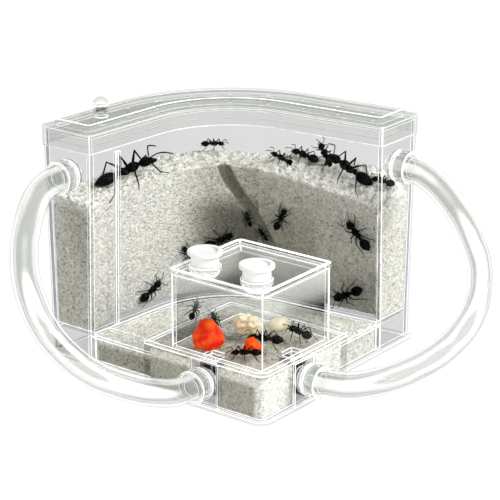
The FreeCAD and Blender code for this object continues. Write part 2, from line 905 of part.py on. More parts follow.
def hose(name, route, outward):
    """Clear hose that follows its route from flange to flange."""
    path = hose_path(name, route)
    solids = []
    for diameter in (hose_outside, hose_bore):
        ring = Part.Wire(Part.makeCircle(diameter / 2, route[0], outward))
        solids.append(path.makePipeShell([ring], True, False))
    pipe = solids[0].cut(solids[1])
    section = math.pi / 4 * (hose_outside**2 - hose_bore**2)
    print(name, "volume over section times length", round(pipe.Volume / (section * path.Length), 4))
    return pipe


# ---------------------------------------------------------------- food
# Rings of a carrot chunk: width in parts of its own, height in parts of its own, shift to the back.
carrot_rings = [(0.8, 0.0, 0.0), (1.0, 0.35, 0.0), (0.35, 1.0, 0.08)]
carrot_sides = 6
carrot_turn_deg = 10.0


def feeding_place(along, across):
    """A place on the feeding box's floor, in parts of the box's length and width."""
    return Vector(feeding_x0 + along * feeding_length, feeding_y0 + across * feeding_width, window_top)


def carrot_chunk(place, width, height):
    """Cut piece of carrot: a six-sided block that narrows upwards."""
    rings = []
    for size, level, shift in carrot_rings:
        points = []
        for side in range(carrot_sides):
            angle = math.radians(360 / carrot_sides * side + carrot_turn_deg)
            reach = size * width / 2
            x = reach * math.cos(angle) - shift * width
            y = reach * math.sin(angle) + shift * width
            points.append(place + Vector(x, y, level * height))
        rings.append(Part.makePolygon(points + points[:1]))
    return Part.makeLoft(rings, True, True)


def turned(outline, length):
    """A solid turned about the X axis; its outline gives places and radii in parts of its length."""
    points = [Vector(place * length, 0, radius * length) for place, radius in outline]
    return Part.Face(Part.makePolygon(points + points[:1])).revolve(Vector(0, 0, 0), Vector(1, 0, 0), 360)


# Half outline of a kernel, as place and radius along it.
kernel_outline = [
    (-0.5, 0.0),
    (-0.47, 0.12),
    (-0.38, 0.22),
    (-0.2, 0.31),
    (0.0, 0.34),
    (0.2, 0.31),
    (0.38, 0.21),
    (0.47, 0.11),
    (0.5, 0.0),
]
kernel_sink_share = 0.02


def kernel(place, heading_deg, length):
    """Oval kernel that lies on the floor, flat where it rests."""
    body = turned(kernel_outline, length)
    radius = max(radius for place, radius in kernel_outline) * length
    body.Placement = Placement(place + up * (radius - kernel_sink_share * length), Rotation(up, heading_deg))
    x, y, z = place
    return body.cut(box(x - length, y - length, z - length, x + length, y + length, z))


# ---------------------------------------------------------------- ants
# Length of a middling worker.  Every ant is made at this length and then scaled.
worker_length = 20.0
limb_share = 0.028
# Half outline from the tail to the head, as place and radius along it.
ant_outline = [
    (-0.5, 0.0),
    (-0.48, 0.05),
    (-0.42, 0.095),
    (-0.33, 0.12),
    (-0.24, 0.11),
    (-0.17, 0.07),
    (-0.13, 0.03),
    (-0.1, 0.045),
    (-0.07, 0.03),
    (-0.03, 0.055),
    (0.04, 0.07),
    (0.14, 0.075),
    (0.2, 0.055),
    (0.24, 0.03),
    (0.28, 0.075),
    (0.35, 0.095),
    (0.43, 0.085),
    (0.48, 0.045),
    (0.5, 0.0),
]
# Hip, knee and foot of the legs of one side, seen from above, then root, elbow and tip of its feeler.
ant_legs = [
    ((0.16, 0.0), (0.28, 0.16), (0.4, 0.24)),
    ((0.1, 0.0), (0.08, 0.2), (0.04, 0.32)),
    ((0.04, 0.0), (-0.12, 0.18), (-0.34, 0.28)),
]
knee_rise_share = 0.08
ant_feeler = ((0.44, 0.03, 0.02), (0.5, 0.16, 0.06), (0.62, 0.18, 0.0))


def ant_body(stance):
    """One ant of the pattern length about its middle, its feet below it by the stance."""
    limbs = [ant_feeler]
    for hip, knee, foot in ant_legs:
        limbs.append(((*hip, 0.0), (*knee, knee_rise_share), (*foot, limb_share / 2 - stance)))
    bars = []
    for limb in limbs:
        for side in (-1, 1):
            points = [Vector(x, side * y, z) * worker_length for x, y, z in limb]
            for start, stop in zip(points, points[1:]):
                run = stop - start
                bars.append(rod(limb_share * worker_length, start, run, run.Length))
    return turned(ant_outline, worker_length).multiFuse(bars)


def stand(shape, place, heading, facing):
    """Turn a shape so that it heads one way with its back to another, and put it in its place."""
    side = facing.cross(heading).normalize()
    ahead = side.cross(facing).normalize()
    turned = shape.copy()
    turned.Placement = Placement(place, Rotation(ahead, side, facing, "ZXY"))
    return turned


# Ants on the sand's top: place along the nest in parts of its length, depth inside its outer face in parts
# of the arm's thickness, height of the feet above the sand in parts of the ant's length, heading in
# degrees from +X, climb in degrees, and size in parts of a worker.
top_ants = [
    (0.1875, 0.5623, 0.0, 72.0, 8.0, 1.5),
    (0.484, 0.1825, 0.254, 45.0, 0.0, 0.45),
    (0.6407, 0.2032, 0.137, 198.0, 17.0, 0.49),
    (0.7197, 0.4262, 0.02, 186.0, 10.0, 0.725),
    (0.7614, 0.3137, 0.325, 190.0, 80.0, 0.57),
    (0.8548, 0.4609, 0.045, 186.0, 29.0, 1.25),
    (0.9496, 0.3818, 0.035, 186.0, 16.0, 0.54),
]
# Ants in the feeding box: place along and across it in parts of its length and width, height of the feet
# above its floor in parts of the ant's length, heading, climb and size as above.
feeding_ants = [
    (0.6858, 0.1923, 0.0, 213.0, 0.0, 0.735),
    (0.6463, 0.5220, 0.0, 198.0, 0.0, 0.925),
    (0.7864, 0.8352, 0.0, 163.0, 0.0, 0.875),
    (0.2029, 0.3590, 1.022, 150.0, 40.0, 0.45),
]
# Ants on the sand's face: place along the nest and height above its floor in parts of its length and height,
# heading from level, and size in parts of a worker.
face_ants = [
    (0.6619, 0.4206, 65.0, 0.695),
    (0.9084, 0.4177, 136.0, 0.94),
    (0.8785, 0.0913, 208.0, 0.975),
    (0.2595, 0.0754, 24.0, 0.875),
    (0.3993, 0.2163, 130.0, 0.65),
    (0.4802, 0.2817, 21.0, 0.845),
    (0.5667, 0.3988, 108.0, 0.43),
    (0.6082, 0.3224, 128.0, 0.4),
]
# Ant on the front pane of the feeding box: place along the box and height above its floor in
# parts of the box's length and height, lean, and size in parts of a worker.
pane_ant_along = 0.2172
pane_ant_level = 0.5391
pane_ant_lean_deg = 24.0
pane_ant_share = 0.6
# Height of an ant's middle above its feet, in parts of its length, on the ground and on a wall.
tall_stance_share = 0.2
flat_stance_share = 0.09


def ground_ant(pattern, place, rise, heading_deg, climb_deg, size):
    """An ant whose feet stand on a place on the ground, or above it by its rise."""
    length = size * worker_length
    turn = math.radians(heading_deg)
    climb = math.radians(climb_deg)
    level = Vector(math.cos(turn), math.sin(turn), 0)
    heading = level * math.cos(climb) + up * math.sin(climb)
    facing = up * math.cos(climb) - level * math.sin(climb)
    middle = place + up * (rise * length) + facing * (tall_stance_share * length)
    return stand(pattern.scaled(size), middle, heading, facing)


def on_sand(hill, place):
    """The place on the sand's top above a place seen from above."""
    plumb = Part.makeLine(lift(place, floor_top), lift(place, nest_top))
    return lift(place, plumb.common(hill).BoundBox.ZMax)


def nest_ants():
    """Every ant of the nest, on the sand's top and on its face."""
    pattern = ant_body(tall_stance_share)
    hill = sand_hill()
    shapes = []
    for along, inside, rise, heading_deg, climb_deg, size in top_ants:
        depth = inside * arm_thickness
        place = on_sand(hill, station(depth, along * rail_length(depth)))
        shapes.append(ground_ant(pattern, place, rise, heading_deg, climb_deg, size))
    flat_pattern = ant_body(flat_stance_share)
    for along, level, turn_deg, size in face_ants:
        place, facing = face_place(along, level)
        turn = math.radians(turn_deg)
        heading = up.cross(facing) * math.cos(turn) + up * math.sin(turn)
        middle = place + facing * (flat_stance_share * size * worker_length)
        shapes.append(stand(flat_pattern.scaled(size), middle, heading, facing))
    return Part.makeCompound(shapes)


def feeding_box_ants():
    """Every ant of the feeding box."""
    lean = math.radians(pane_ant_lean_deg)
    facing = left_out * -1
    x = feeding_x0 + pane_ant_along * feeding_length
    y = feeding_y0 + feeding_wall + 2 * lift_gap + flat_stance_share * pane_ant_share * worker_length
    middle = Vector(x, y, window_top + pane_ant_level * feeding_height)
    heading = Vector(math.sin(lean), 0, math.cos(lean))
    shapes = [stand(ant_body(flat_stance_share).scaled(pane_ant_share), middle, heading, facing)]
    pattern = ant_body(tall_stance_share)
    for along, across, rise, heading_deg, climb_deg, size in feeding_ants:
        place = feeding_place(along, across)
        shapes.append(ground_ant(pattern, place, rise, heading_deg, climb_deg, size))
    return Part.makeCompound(shapes)


# ---------------------------------------------------------------- nodes
save("base_plate", base_plate())
save("base_wall_front_left", base_wall_front_left())
save("base_wall_front_right", base_wall_front_right())
save("base_sand", base_sand())
save("base_cover_front", base_cover_front())
save("base_cover_rear", base_cover_rear())
save("plinth_wall", plinth_wall())
save("nest_floor", nest_floor())
save("outer_wall", outer_wall())
save("inner_wall", inner_wall())
save("end_panel_left", end_panel_left())
save("end_panel_right", end_panel_right())
save("inner_rib", inner_rib())
save("nest_sand", nest_sand())
save("nest_lid", nest_lid())
save("water_port", water_port())
save("port_stopper", port_stopper())
save("module_shell", module_shell())
save("module_window", module_window())
save("module_sand", module_sand())
save("duct_left", duct(lower_left_wall, left_out))
save("boss_plate_left", boss_plate(lower_left_wall, left_out))
save("duct_right", duct(lower_right_wall, right_out))
save("boss_plate_right", boss_plate(lower_right_wall, right_out))
save("feeding_box", feeding_box())
save("feeding_lid", feeding_lid())
for side in fill_port_places:
    save("fill_port_" + side, fill_port(side))
    save("plug_" + side, plug(side))
sockets = {
    "upper_left": (upper_left_face, left_out, wall + sleeve_inside),
    "upper_right": (upper_right_face, right_out, wall + sleeve_inside),
    "lower_left": (lower_left_face, left_out, boss_thickness + module_wall),
    "lower_right": (lower_right_face, right_out, boss_thickness + module_wall),
}
for place, (face, outward, inward_length) in sockets.items():
    save("socket_" + place, socket(face, outward, inward_length))
    save("collar_" + place, collar(face, outward))
save("hose_left", hose("hose_left", left_hose_route, left_out))
save("hose_right", hose("hose_right", right_hose_route, right_out))
save("carrot_large", carrot_chunk(feeding_place(*carrot_place), carrot_width, carrot_height))
save("carrot_small", carrot_chunk(feeding_place(*chip_place), chip_width, chip_height))
save("walnut_kernel", kernel(feeding_place(*nut_place), nut_heading_deg, nut_length))
save("seed_kernel", kernel(feeding_place(*seed_place), seed_heading_deg, seed_length))
save("nest_ants", nest_ants())
save("feeding_ants", feeding_box_ants())
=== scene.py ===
"""Ant habitat: a clear nest tank, a module with a feeding box, two hoses, sand, ants and food."""

import json
import math

import bmesh
import bpy
from mathutils import Matrix, Vector, noise

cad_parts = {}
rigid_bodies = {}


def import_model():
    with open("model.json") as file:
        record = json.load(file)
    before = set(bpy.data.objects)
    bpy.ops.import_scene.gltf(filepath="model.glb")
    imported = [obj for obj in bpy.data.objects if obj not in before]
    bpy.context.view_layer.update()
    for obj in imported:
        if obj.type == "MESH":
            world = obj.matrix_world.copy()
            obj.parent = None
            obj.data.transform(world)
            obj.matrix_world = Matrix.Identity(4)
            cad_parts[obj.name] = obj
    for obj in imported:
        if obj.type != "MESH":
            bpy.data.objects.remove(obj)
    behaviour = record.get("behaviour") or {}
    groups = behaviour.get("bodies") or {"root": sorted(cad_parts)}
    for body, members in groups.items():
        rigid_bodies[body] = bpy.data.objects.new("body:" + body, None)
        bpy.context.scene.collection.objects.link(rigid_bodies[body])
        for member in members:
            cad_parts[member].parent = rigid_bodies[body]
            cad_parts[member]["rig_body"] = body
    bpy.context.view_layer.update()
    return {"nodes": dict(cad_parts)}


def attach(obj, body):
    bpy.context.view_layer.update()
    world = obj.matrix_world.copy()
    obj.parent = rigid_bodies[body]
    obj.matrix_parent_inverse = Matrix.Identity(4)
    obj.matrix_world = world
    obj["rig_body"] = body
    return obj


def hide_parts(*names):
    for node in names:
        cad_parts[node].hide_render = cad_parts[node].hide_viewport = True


bl_info = {
    "name": "Ant Habitat",
    "version": (1, 0, 0),
    "blender": (4, 5, 0),
    "location": "3D View > Sidebar > Ant Habitat",
    "description": "Dresses the frame of a clear ant habitat with acrylic, hoses, sand, ants and food",
    "category": "Add Mesh",
}

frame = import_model()

MM = 0.001


def reach(node):
    """The lowest and the highest corner of a node's box, in mm."""
    places = [vertex.co / MM for vertex in frame["nodes"][node].data.vertices]
    return [Vector([pick(place[axis] for place in places) for axis in range(3)]) for pick in (min, max)]


# ---------------------------------------------------------------- places shared with the frame, in mm
NEST_RIM = reach("inner_wall")[1].z
NEST_LID_TOP = reach("nest_lid")[1].z
LEFT_ARM_END = reach("end_panel_left")[0].y
BACK_ARM_END = reach("end_panel_right")[1].x
SAND_HIGH = reach("nest_sand")[1]
WINDOW_UNDERSIDE = reach("module_window")[0].z
FEEDING_LOW, FEEDING_HIGH = reach("feeding_box")
FEEDING_LID_TOP = reach("feeding_lid")[1].z

# The nest's outer face: two straight arms that lean inwards, joined by one wide bend.
BEND_CENTRE = Vector((9.122, -14.225))
BEND_RADIUS = 74.4
LEFT_INWARD = Vector((math.cos(math.radians(3.5)), -math.sin(math.radians(3.5))))
BACK_INWARD = Vector((math.sin(math.radians(5.5)), -math.cos(math.radians(5.5))))
SAND_FACE_DEPTH = 20.5
DRAFT = math.tan(math.radians(1.25))
NEST_FLOOR_TOP = 17.2

# Each hose's course, from its upper flange to its lower one.
LEFT_HOSE_ROUTE = [
    (-51.5, -65.0, 98.8), (-51.5, -77.0, 98.8), (-48.5, -89.5, 96.0), (-42.0, -102.5, 90.5),
    (-31.5, -118.5, 80.5), (-18.0, -131.5, 67.5), (-0.5, -137.0, 50.0), (15.5, -131.0, 35.0),
    (28.0, -118.0, 25.5), (35.5, -102.0, 18.5), (38.0, -86.8, 15.0), (38.0, -73.8, 15.0),
]
RIGHT_HOSE_ROUTE = [
    (67.0, 47.0, 98.8), (78.0, 47.0, 98.8), (90.0, 44.5, 95.5), (103.0, 39.0, 90.0),
    (119.0, 30.0, 82.0), (136.5, 17.0, 67.5), (143.0, 0.5, 50.5), (135.0, -16.5, 34.5),
    (120.0, -28.5, 24.5), (104.0, -36.0, 18.0), (88.8, -38.5, 15.0), (75.8, -38.5, 15.0),
]

# Ants on the ground: x, y, height of their feet, heading from +X and climb in degrees, length, girth.
GROUND_ANTS = [
    (-49.0, -23.4, 84.0, 72.0, 14.5, 37.0, 0.7),
    (-40.6, 34.4, 90.9, 45.0, 0.0, 12.5, 1.05),
    (-3.1, 44.0, 87.2, 198.0, 26.0, 14.5, 1.0),
    (8.2, 48.7, 89.6, 186.0, 14.0, 16.2, 1.15),
    (16.4, 52.0, 92.2, 190.0, 64.0, 15.0, 1.3),
    (33.8, 49.6, 85.0, 186.0, 27.0, 28.5, 0.9),
    (53.6, 53.8, 83.6, 186.0, 7.0, 13.5, 1.2),
]
# Ants on the sand's face: angle about the bend's centre, height, heading from level, length.
FACE_ANTS = [
    (98.1, 59.6, 65.0, 13.9),
    (55.8, 59.3, 136.0, 18.8),
    (60.0, 26.4, 208.0, 19.5),
    (179.7, 24.8, 24.0, 17.5),
    (151.5, 39.0, 130.0, 13.0),
    (135.1, 45.6, 21.0, 16.9),
    (117.5, 57.4, 108.0, 8.6),
    (109.1, 49.7, 128.0, 8.0),
]
# Ants on the feeding box's floor and food, as those on the ground, without a girth.
FEEDING_ANTS = [
    (53.8, -58.8, 26.8, 213.0, 0.0, 14.7),
    (51.6, -40.8, 26.8, 198.0, 0.0, 18.5),
    (59.4, -23.7, 26.8, 163.0, 0.0, 17.5),
    (26.9, -49.7, 36.0, 150.0, 40.0, 9.0),
]
# The ant on the feeding box's pane: x, y, z, lean from upright in degrees, length.
PANE_ANT = (27.7, -65.6, 46.8, 24.0, 12.0)
# How far an ant's toes are below its middle, as a share of its length.
TALL_STANCE = 0.2
FLAT_STANCE = 0.09

# ---------------------------------------------------------------- small tools
# A Mix node's colour inputs and its colour output, which share their names with its other sockets.
FIRST, SECOND, MIXED = 6, 7, 2
# Edges sharper than SHARP_ANGLE are rounded and shade as edges. Faces that meet at less than FLAT_ANGLE
# are made one.
SHARP_ANGLE = math.radians(35)
FLAT_ANGLE = math.radians(0.3)
# Corners that are nearer than this are one corner.
MERGE_DISTANCE = 0.002 * MM


def linear(code):
    """The linear colour of an sRGB hex code."""
    channels = []
    for start in (1, 3, 5):
        value = int(code[start:start + 2], 16) / 255
        channels.append(value / 12.92 if value <= 0.04045 else ((value + 0.055) / 1.055) ** 2.4)
    return (*channels, 1.0)


def add_node(tree, kind, inputs=None, **settings):
    """Add a node with its settings; an input takes a value, a socket or another node's first output."""
    made = tree.nodes.new(kind)
    for name, value in settings.items():
        setattr(made, name, value)
    for name, value in (inputs or {}).items():
        if isinstance(value, bpy.types.Node):
            value = value.outputs[0]
        if isinstance(value, bpy.types.NodeSocket):
            tree.links.new(value, made.inputs[name])
        else:
            made.inputs[name].default_value = value
    return made


def new_material(name):
    """A material without a shader, its node tree and the place of each point on its piece."""
    material = bpy.data.materials.new(name)
    material.use_nodes = True
    tree = material.node_tree
    tree.nodes.clear()
    return material, tree, add_node(tree, "ShaderNodeTexCoord").outputs["Object"]


def finished(material, inputs):
    """The material, ended in one Principled shader."""
    shader = add_node(material.node_tree, "ShaderNodeBsdfPrincipled", inputs)
    add_node(material.node_tree, "ShaderNodeOutputMaterial", {"Surface": shader})
    return material


def known_material(name, build, *values):
    """The material of that name, built the first time it is asked for."""
    return bpy.data.materials.get(name) or build(name, *values)


def per_mm(size_mm):
    """The texture scale at which one cell of a pattern on Object coordinates has a size."""
    return 1 / (size_mm * MM)


def mottled(tree, place, patch_mm, detail, spread, limits):
    """A value that wanders between its limits in patches of a size, as the noise does within its spread."""
    pattern = {"Vector": place, "Scale": per_mm(patch_mm), "Detail": detail}
    patches = add_node(tree, "ShaderNodeTexNoise", pattern)
    names = ("From Min", "From Max", "To Min", "To Max")
    return add_node(tree, "ShaderNodeMapRange", {"Value": patches, **dict(zip(names, spread + limits))})


def new_piece(name, mesh):
    """A named object at the origin with a mesh."""
    piece = bpy.data.objects.new(name, mesh)
    bpy.context.scene.collection.objects.link(piece)
    return piece


def add_modifier(piece, name, kind, **settings):
    """Add a modifier with its settings."""
    modifier = piece.modifiers.new(name, kind)
    for key, value in settings.items():
        setattr(modifier, key, value)
    return modifier


def bake_modifiers(piece):
    """Turn a piece and its modifiers into one plain mesh."""
    evaluated = piece.evaluated_get(bpy.context.evaluated_depsgraph_get())
    mesh = bpy.data.meshes.new_from_object(evaluated)
    piece.modifiers.clear()
    piece.data = mesh
    return piece


def round_off(piece, radius, segments, material=-1):
    """Round a piece's edges, in a material of its own if one is given, and make it one plain mesh."""
    rounding = add_modifier(piece, "edges", "BEVEL", width=radius, segments=segments, material=material)
    rounding.limit_method = "ANGLE"
    rounding.angle_limit = SHARP_ANGLE
    rounding.harden_normals = True
    piece.data.shade_smooth()
    piece.data.set_sharp_from_angle(angle=SHARP_ANGLE)
    return bake_modifiers(piece)


def merged_copy(node, name):
    """A copy of a node's mesh with its corners joined and its flat faces made whole."""
    mesh = frame["nodes"][node].data.copy()
    mesh.materials.clear()
    shape = bmesh.new()
    shape.from_mesh(mesh)
    bmesh.ops.remove_doubles(shape, verts=shape.verts, dist=MERGE_DISTANCE)
    bmesh.ops.dissolve_limit(shape, angle_limit=FLAT_ANGLE, verts=shape.verts, edges=shape.edges)
    shape.to_mesh(mesh)
    shape.free()
    return new_piece(name, mesh)


def finished_mesh(shape, name, sharp_angle_deg):
    """The named mesh of a shape, smooth between its sharp edges; it ends the shape."""
    mesh = bpy.data.meshes.new(name)
    shape.to_mesh(mesh)
    shape.free()
    mesh.shade_smooth()
    mesh.set_sharp_from_angle(angle=math.radians(sharp_angle_deg))
    return mesh


def add_ring(shape, centre, side, across, sides):
    """A ring of corners about a centre, through the ends of two radii."""
    turns = [2 * math.pi * step / sides for step in range(sides)]
    return [shape.verts.new(centre + side * math.cos(turn) + across * math.sin(turn)) for turn in turns]


def join_rings(shape, rings):
    """Faces from each ring of corners to the next; a ring may be a single corner."""
    for low, high in zip(rings, rings[1:]):
        for step in range(max(len(low), len(high))):
            corners = [low[step % len(low)], high[step % len(high)]]
            corners += [high[(step + 1) % len(high)], low[(step + 1) % len(low)]]
            shape.faces.new(list(dict.fromkeys(corners)))


def path_frames(points):
    """At each point of a path, two directions across it that don't twist."""
    frames = []
    across = Vector((0, 0, 1))
    for index in range(len(points)):
        before = points[max(index - 1, 0)]
        after = points[min(index + 1, len(points) - 1)]
        ahead = (after - before).normalized()
        side = ahead.cross(across).normalized()
        across = side.cross(ahead).normalized()
        frames.append((side, across))
    return frames


def hand_over(piece, slot, node):
    """Let a finished piece ride with the node that it stands for, and hide the node."""
    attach(piece, frame["nodes"][node]["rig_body"])
    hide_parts(node)


def smooth_step(low, high, value):
    """0 up to low, 1 from high on and a smooth rise between them; low may also be the larger."""
    share = min(max((value - low) / (high - low), 0.0), 1.0)
    return share * share * (3 - 2 * share)


# ---------------------------------------------------------------- settings
def colour_setting(name, description, code):
    """A colour that may be changed; its default is an sRGB hex code."""
    return bpy.props.FloatVectorProperty(
        name=name, description=description, subtype="COLOR", size=4, default=linear(code)
    )


def length_setting(name, description, size_mm):
    """A length that may be changed; its default is in mm."""
    return bpy.props.FloatProperty(name=name, description=description, unit="LENGTH", default=size_mm * MM)


class SheetSettings(bpy.types.PropertyGroup):
    """Clear acrylic sheet."""

    tint: colour_setting("Tint", "Colour of a sheet that is seen square on", "#11130f")
    # Sheen, pale sheen and lid sheen are painted sheen: the colours that sheets take on where they are seen
    # aslant. Pale sheen is also the painted reflection of white on the feeding box's upper part.
    sheen: colour_setting("Sheen", "Colour of a sheet that is seen aslant", "#a5ad9c")
    pale: colour_setting("Pale sheen", "Colour of covers and feeding box, which mirror white", "#d9dcd5")
    lid: colour_setting("Lid sheen", "Colour of the nest's lid, seen aslant against the light", "#868d80")
    # Edge is the colour of a painted glow on the sheets' rounded edges and chosen corners.
    edge: colour_setting("Edge", "Colour of the light that leaves the sheet at its edges", "#fbfcfc")
    cut: colour_setting("Cut end", "Colour of a sheet that is seen through its cut end", "#a9adbc")
    thick: colour_setting("Thick parts", "Colour that light takes on in thick clear parts", "#e6e9e6")
    edge_radius: length_setting("Edge radius", "Radius of the polished edges", 0.35)
    film: length_setting("Film", "Air film between sheets that are stuck together", 0.02)


class HoseSettings(bpy.types.PropertyGroup):
    """Clear vinyl hose."""

    outside: length_setting("Outside", "Outside diameter of the hose", 13.4)
    bore: length_setting("Bore", "Bore of the hose", 10.0)
    # Tint, shade and line paint light and shade on the hose: its bright bands, the painted shade bands
    # between them and the painted dark line where its wall is seen edge on.
    tint: colour_setting("Tint", "Colour that light takes on in the hose", "#fbfcfa")
    shade: colour_setting("Shade", "Colour between the bright bands", "#8f938a")
    line: colour_setting("Line", "Colour where the hose's wall is seen edge on", "#7d8078")


class SandSettings(bpy.types.PropertyGroup):
    """Fine quartz sand, with painted light at its borders and painted shade inside."""

    dry: colour_setting("Dry", "Colour of the dry sand", "#f5f4ec")
    # The damp colour is painted shade, not wet sand.
    damp: colour_setting("Damp", "Colour of the damp sand", "#c2c0b1")
    # The speck colour is painted shade in the gaps between the grains and in the pits.
    painted_gap_shade: colour_setting("Speck", "Colour of the gaps between the grains", "#3d3b33")
    pitch: length_setting("Pitch", "Spacing of the points of the sand's surface", 0.85)
    lump: length_setting("Lump", "Height of the crumbs on the nest's sand", 1.7)
    block_lump: length_setting("Block lump", "Height of the crumbs on the sand of the low blocks", 0.4)


class AntSettings(bpy.types.PropertyGroup):
    """Black ants."""

    shell: colour_setting("Shell", "Colour of the ants' shell", "#020202")
    joint: colour_setting("Joints", "Colour at the ants' joints", "#070504")
    thinnest: length_setting("Thinnest limb", "Radius of a small ant's shins", 0.19)


class FoodSettings(bpy.types.PropertyGroup):
    """Carrot, walnut, seed and plugs."""

    carrot: colour_setting("Carrot", "Colour of the carrot", "#ff6414")
    carrot_core: colour_setting("Carrot core", "Colour of its core", "#f02400")
    walnut: colour_setting("Walnut", "Colour of the walnut", "#ffefc6")
    seed: colour_setting("Seed", "Colour of the seed", "#f4eccb")
    plug: colour_setting("Plug", "Colour of the plugs", "#e2e3e1")


class StudioSettings(bpy.types.PropertyGroup):
    """Camera, floor and light."""

    target: bpy.props.FloatVectorProperty(
        name="Target",
        description="Point that the camera looks at",
        subtype="TRANSLATION",
        unit="LENGTH",
        default=(1.8 * MM, 11.5 * MM, 50.0 * MM),
    )
    distance: length_setting("Distance", "From the camera to its target", 1015.2)
    azimuth: bpy.props.FloatProperty(
        name="Azimuth", description="Turn of the camera round the object, in degrees", default=37.49
    )
    elevation: bpy.props.FloatProperty(
        name="Elevation", description="Height of the camera over the object, in degrees", default=19.5
    )
    roll: bpy.props.FloatProperty(name="Roll", description="Roll of the camera, in degrees", default=0.09)
    lens: bpy.props.FloatProperty(name="Lens", description="Focal length on a 36 mm sensor", default=143.5)
    floor: colour_setting("Floor", "Colour of the floor", "#606060")
    sky: bpy.props.FloatProperty(name="Sky", description="Strength of the light all round", default=0.45)
    key: bpy.props.FloatProperty(name="Key", description="Watts of the large soft lamp", default=14.0)
    front: bpy.props.FloatProperty(name="Front", description="Watts of the front lamp", default=2.0)


# ---------------------------------------------------------------- clear sheet
ACRYLIC_IOR = 1.49
# The painted reflection of white on the feeding box's upper part begins and is full at these heights.
PAINTED_REFLECTION_FROM, PAINTED_REFLECTION_FULL = 46 * MM, 62 * MM
# Each kind of sheet: its material, the settings with its colour square on and its painted sheen aslant, how
# solid it is square on and aslant, and how solid the painted reflection of white is.
SHEET_KINDS = {
    "sheet": ("cast_acrylic_polished", "tint", "sheen", 0.09, 0.5, 0.0),
    "box": ("cast_acrylic_box", "tint", "pale", 0.04, 0.45, 0.23),
    "cover": ("cast_acrylic_cover", "tint", "pale", 0.025, 0.3, 0.0),
    "lid": ("cast_acrylic_lid", "lid", "lid", 0.14, 0.72, 0.0),
}


def polished_acrylic(name, tint, sheen, square_on, aslant, painted_reflection):
    """Cast acrylic sheet, polished: clear when seen square on, with a painted pale grey sheen when seen
    aslant.
    """
    material, tree, place = new_material(name)
    # Facing is 0 on a sheet that is seen square on, and 1 on one that is seen edge on.
    facing = add_node(tree, "ShaderNodeLayerWeight", {"Blend": 0.5}).outputs["Facing"]
    # The painted sheen sets in where the sheet is seen aslant.
    painted_sheen_share = add_node(tree, "ShaderNodeMapRange", {"Value": facing, "From Min": 0.45, "From Max": 0.7})
    steep = add_node(tree, "ShaderNodeMath", {0: facing, 1: 3.0}, operation="POWER")
    body = add_node(tree, "ShaderNodeMapRange", {"Value": steep, "To Min": square_on, "To Max": aslant})
    # The painted reflection of white on the feeding box's upper part grows with height.
    height = add_node(tree, "ShaderNodeSeparateXYZ", {"Vector": place}).outputs["Z"]
    painted_reflection_span = {"Value": height, "From Min": PAINTED_REFLECTION_FROM, "From Max": PAINTED_REFLECTION_FULL, "To Max": painted_reflection}
    upper = add_node(tree, "ShaderNodeMapRange", painted_reflection_span)
    # Even a thin painted reflection of white gives the sheet the paler colour of its painted sheen.
    painted_paleness = {0: upper, 1: 8.0, 2: painted_sheen_share}
    share = add_node(tree, "ShaderNodeMath", painted_paleness, operation="MULTIPLY_ADD", use_clamp=True)
    colour = add_node(tree, "ShaderNodeMix", {"Factor": share, FIRST: tint, SECOND: sheen}, data_type="RGBA")
    return finished(material, {
        "Base Color": colour.outputs[MIXED],
        "Roughness": mottled(tree, place, 18, 3.0, (0.4, 0.7), (0.02, 0.12)),
        "IOR": ACRYLIC_IOR,
        "Specular IOR Level": 0.15,
        "Alpha": add_node(tree, "ShaderNodeMath", {0: body, 1: upper}, operation="ADD"),
    })


def moulded_acrylic(name, tint):
    """Turned and moulded clear acrylic: thick enough to bend what is seen through it."""
    material, tree, place = new_material(name)
    facing = add_node(tree, "ShaderNodeLayerWeight", {"Blend": 0.5}).outputs["Facing"]
    return finished(material, {
        "Base Color": tint,
        "Roughness": mottled(tree, place, 5, 2.0, (0.4, 0.7), (0.0, 0.06)),
        "IOR": ACRYLIC_IOR,
        "Transmission Weight": 1.0,
        "Alpha": add_node(tree, "ShaderNodeMapRange", {"Value": facing, "To Min": 0.3, "To Max": 0.9}),
    })


def cut_acrylic(name, colour):
    """The cut end of a sheet: it shows the sheet's whole depth, so it is blue-grey and hardly clear."""
    material, tree, place = new_material(name)
    streaks = add_node(tree, "ShaderNodeMapping", {"Vector": place, "Scale": (1.0, 1.0, 0.05)}).outputs[0]
    saw = mottled(tree, streaks, 1.2, 2.0, (0.3, 0.7), (0.65, 0.9))
    return finished(material, {"Base Color": colour, "Roughness": 0.25, "IOR": ACRYLIC_IOR, "Alpha": saw})


def painted_edge_glow(name, colour):
    """Saw-cut and flame-polished acrylic edge with a painted glow: its emission stands in for the light that
    the sheet pipes to it, so it shows as a bright line.
    """
    material, tree, place = new_material(name)
    return finished(material, {
        "Base Color": colour,
        "Roughness": 0.2,
        "IOR": ACRYLIC_IOR,
        "Emission Color": colour,
        "Emission Strength": mottled(tree, place, 4, 3.0, (0.35, 0.65), (0.35, 0.95)),
        "Alpha": 0.8,
    })


def clear_materials(settings, kind):
    """The materials of a clear part's faces, of its edges with their painted glow and of its cut ends."""
    if kind == "thick":
        faces = known_material("clear_acrylic_moulded", moulded_acrylic, settings.thick[:])
    else:
        name, square_on, aslant, *body = SHEET_KINDS[kind]
        colours = [getattr(settings, key)[:] for key in (square_on, aslant)]
        faces = known_material(name, polished_acrylic, *colours, *body)
    edges = known_material("cast_acrylic_edge", painted_edge_glow, settings.edge[:])
    return faces, edges, known_material("cast_acrylic_cut", cut_acrylic, settings.cut[:])


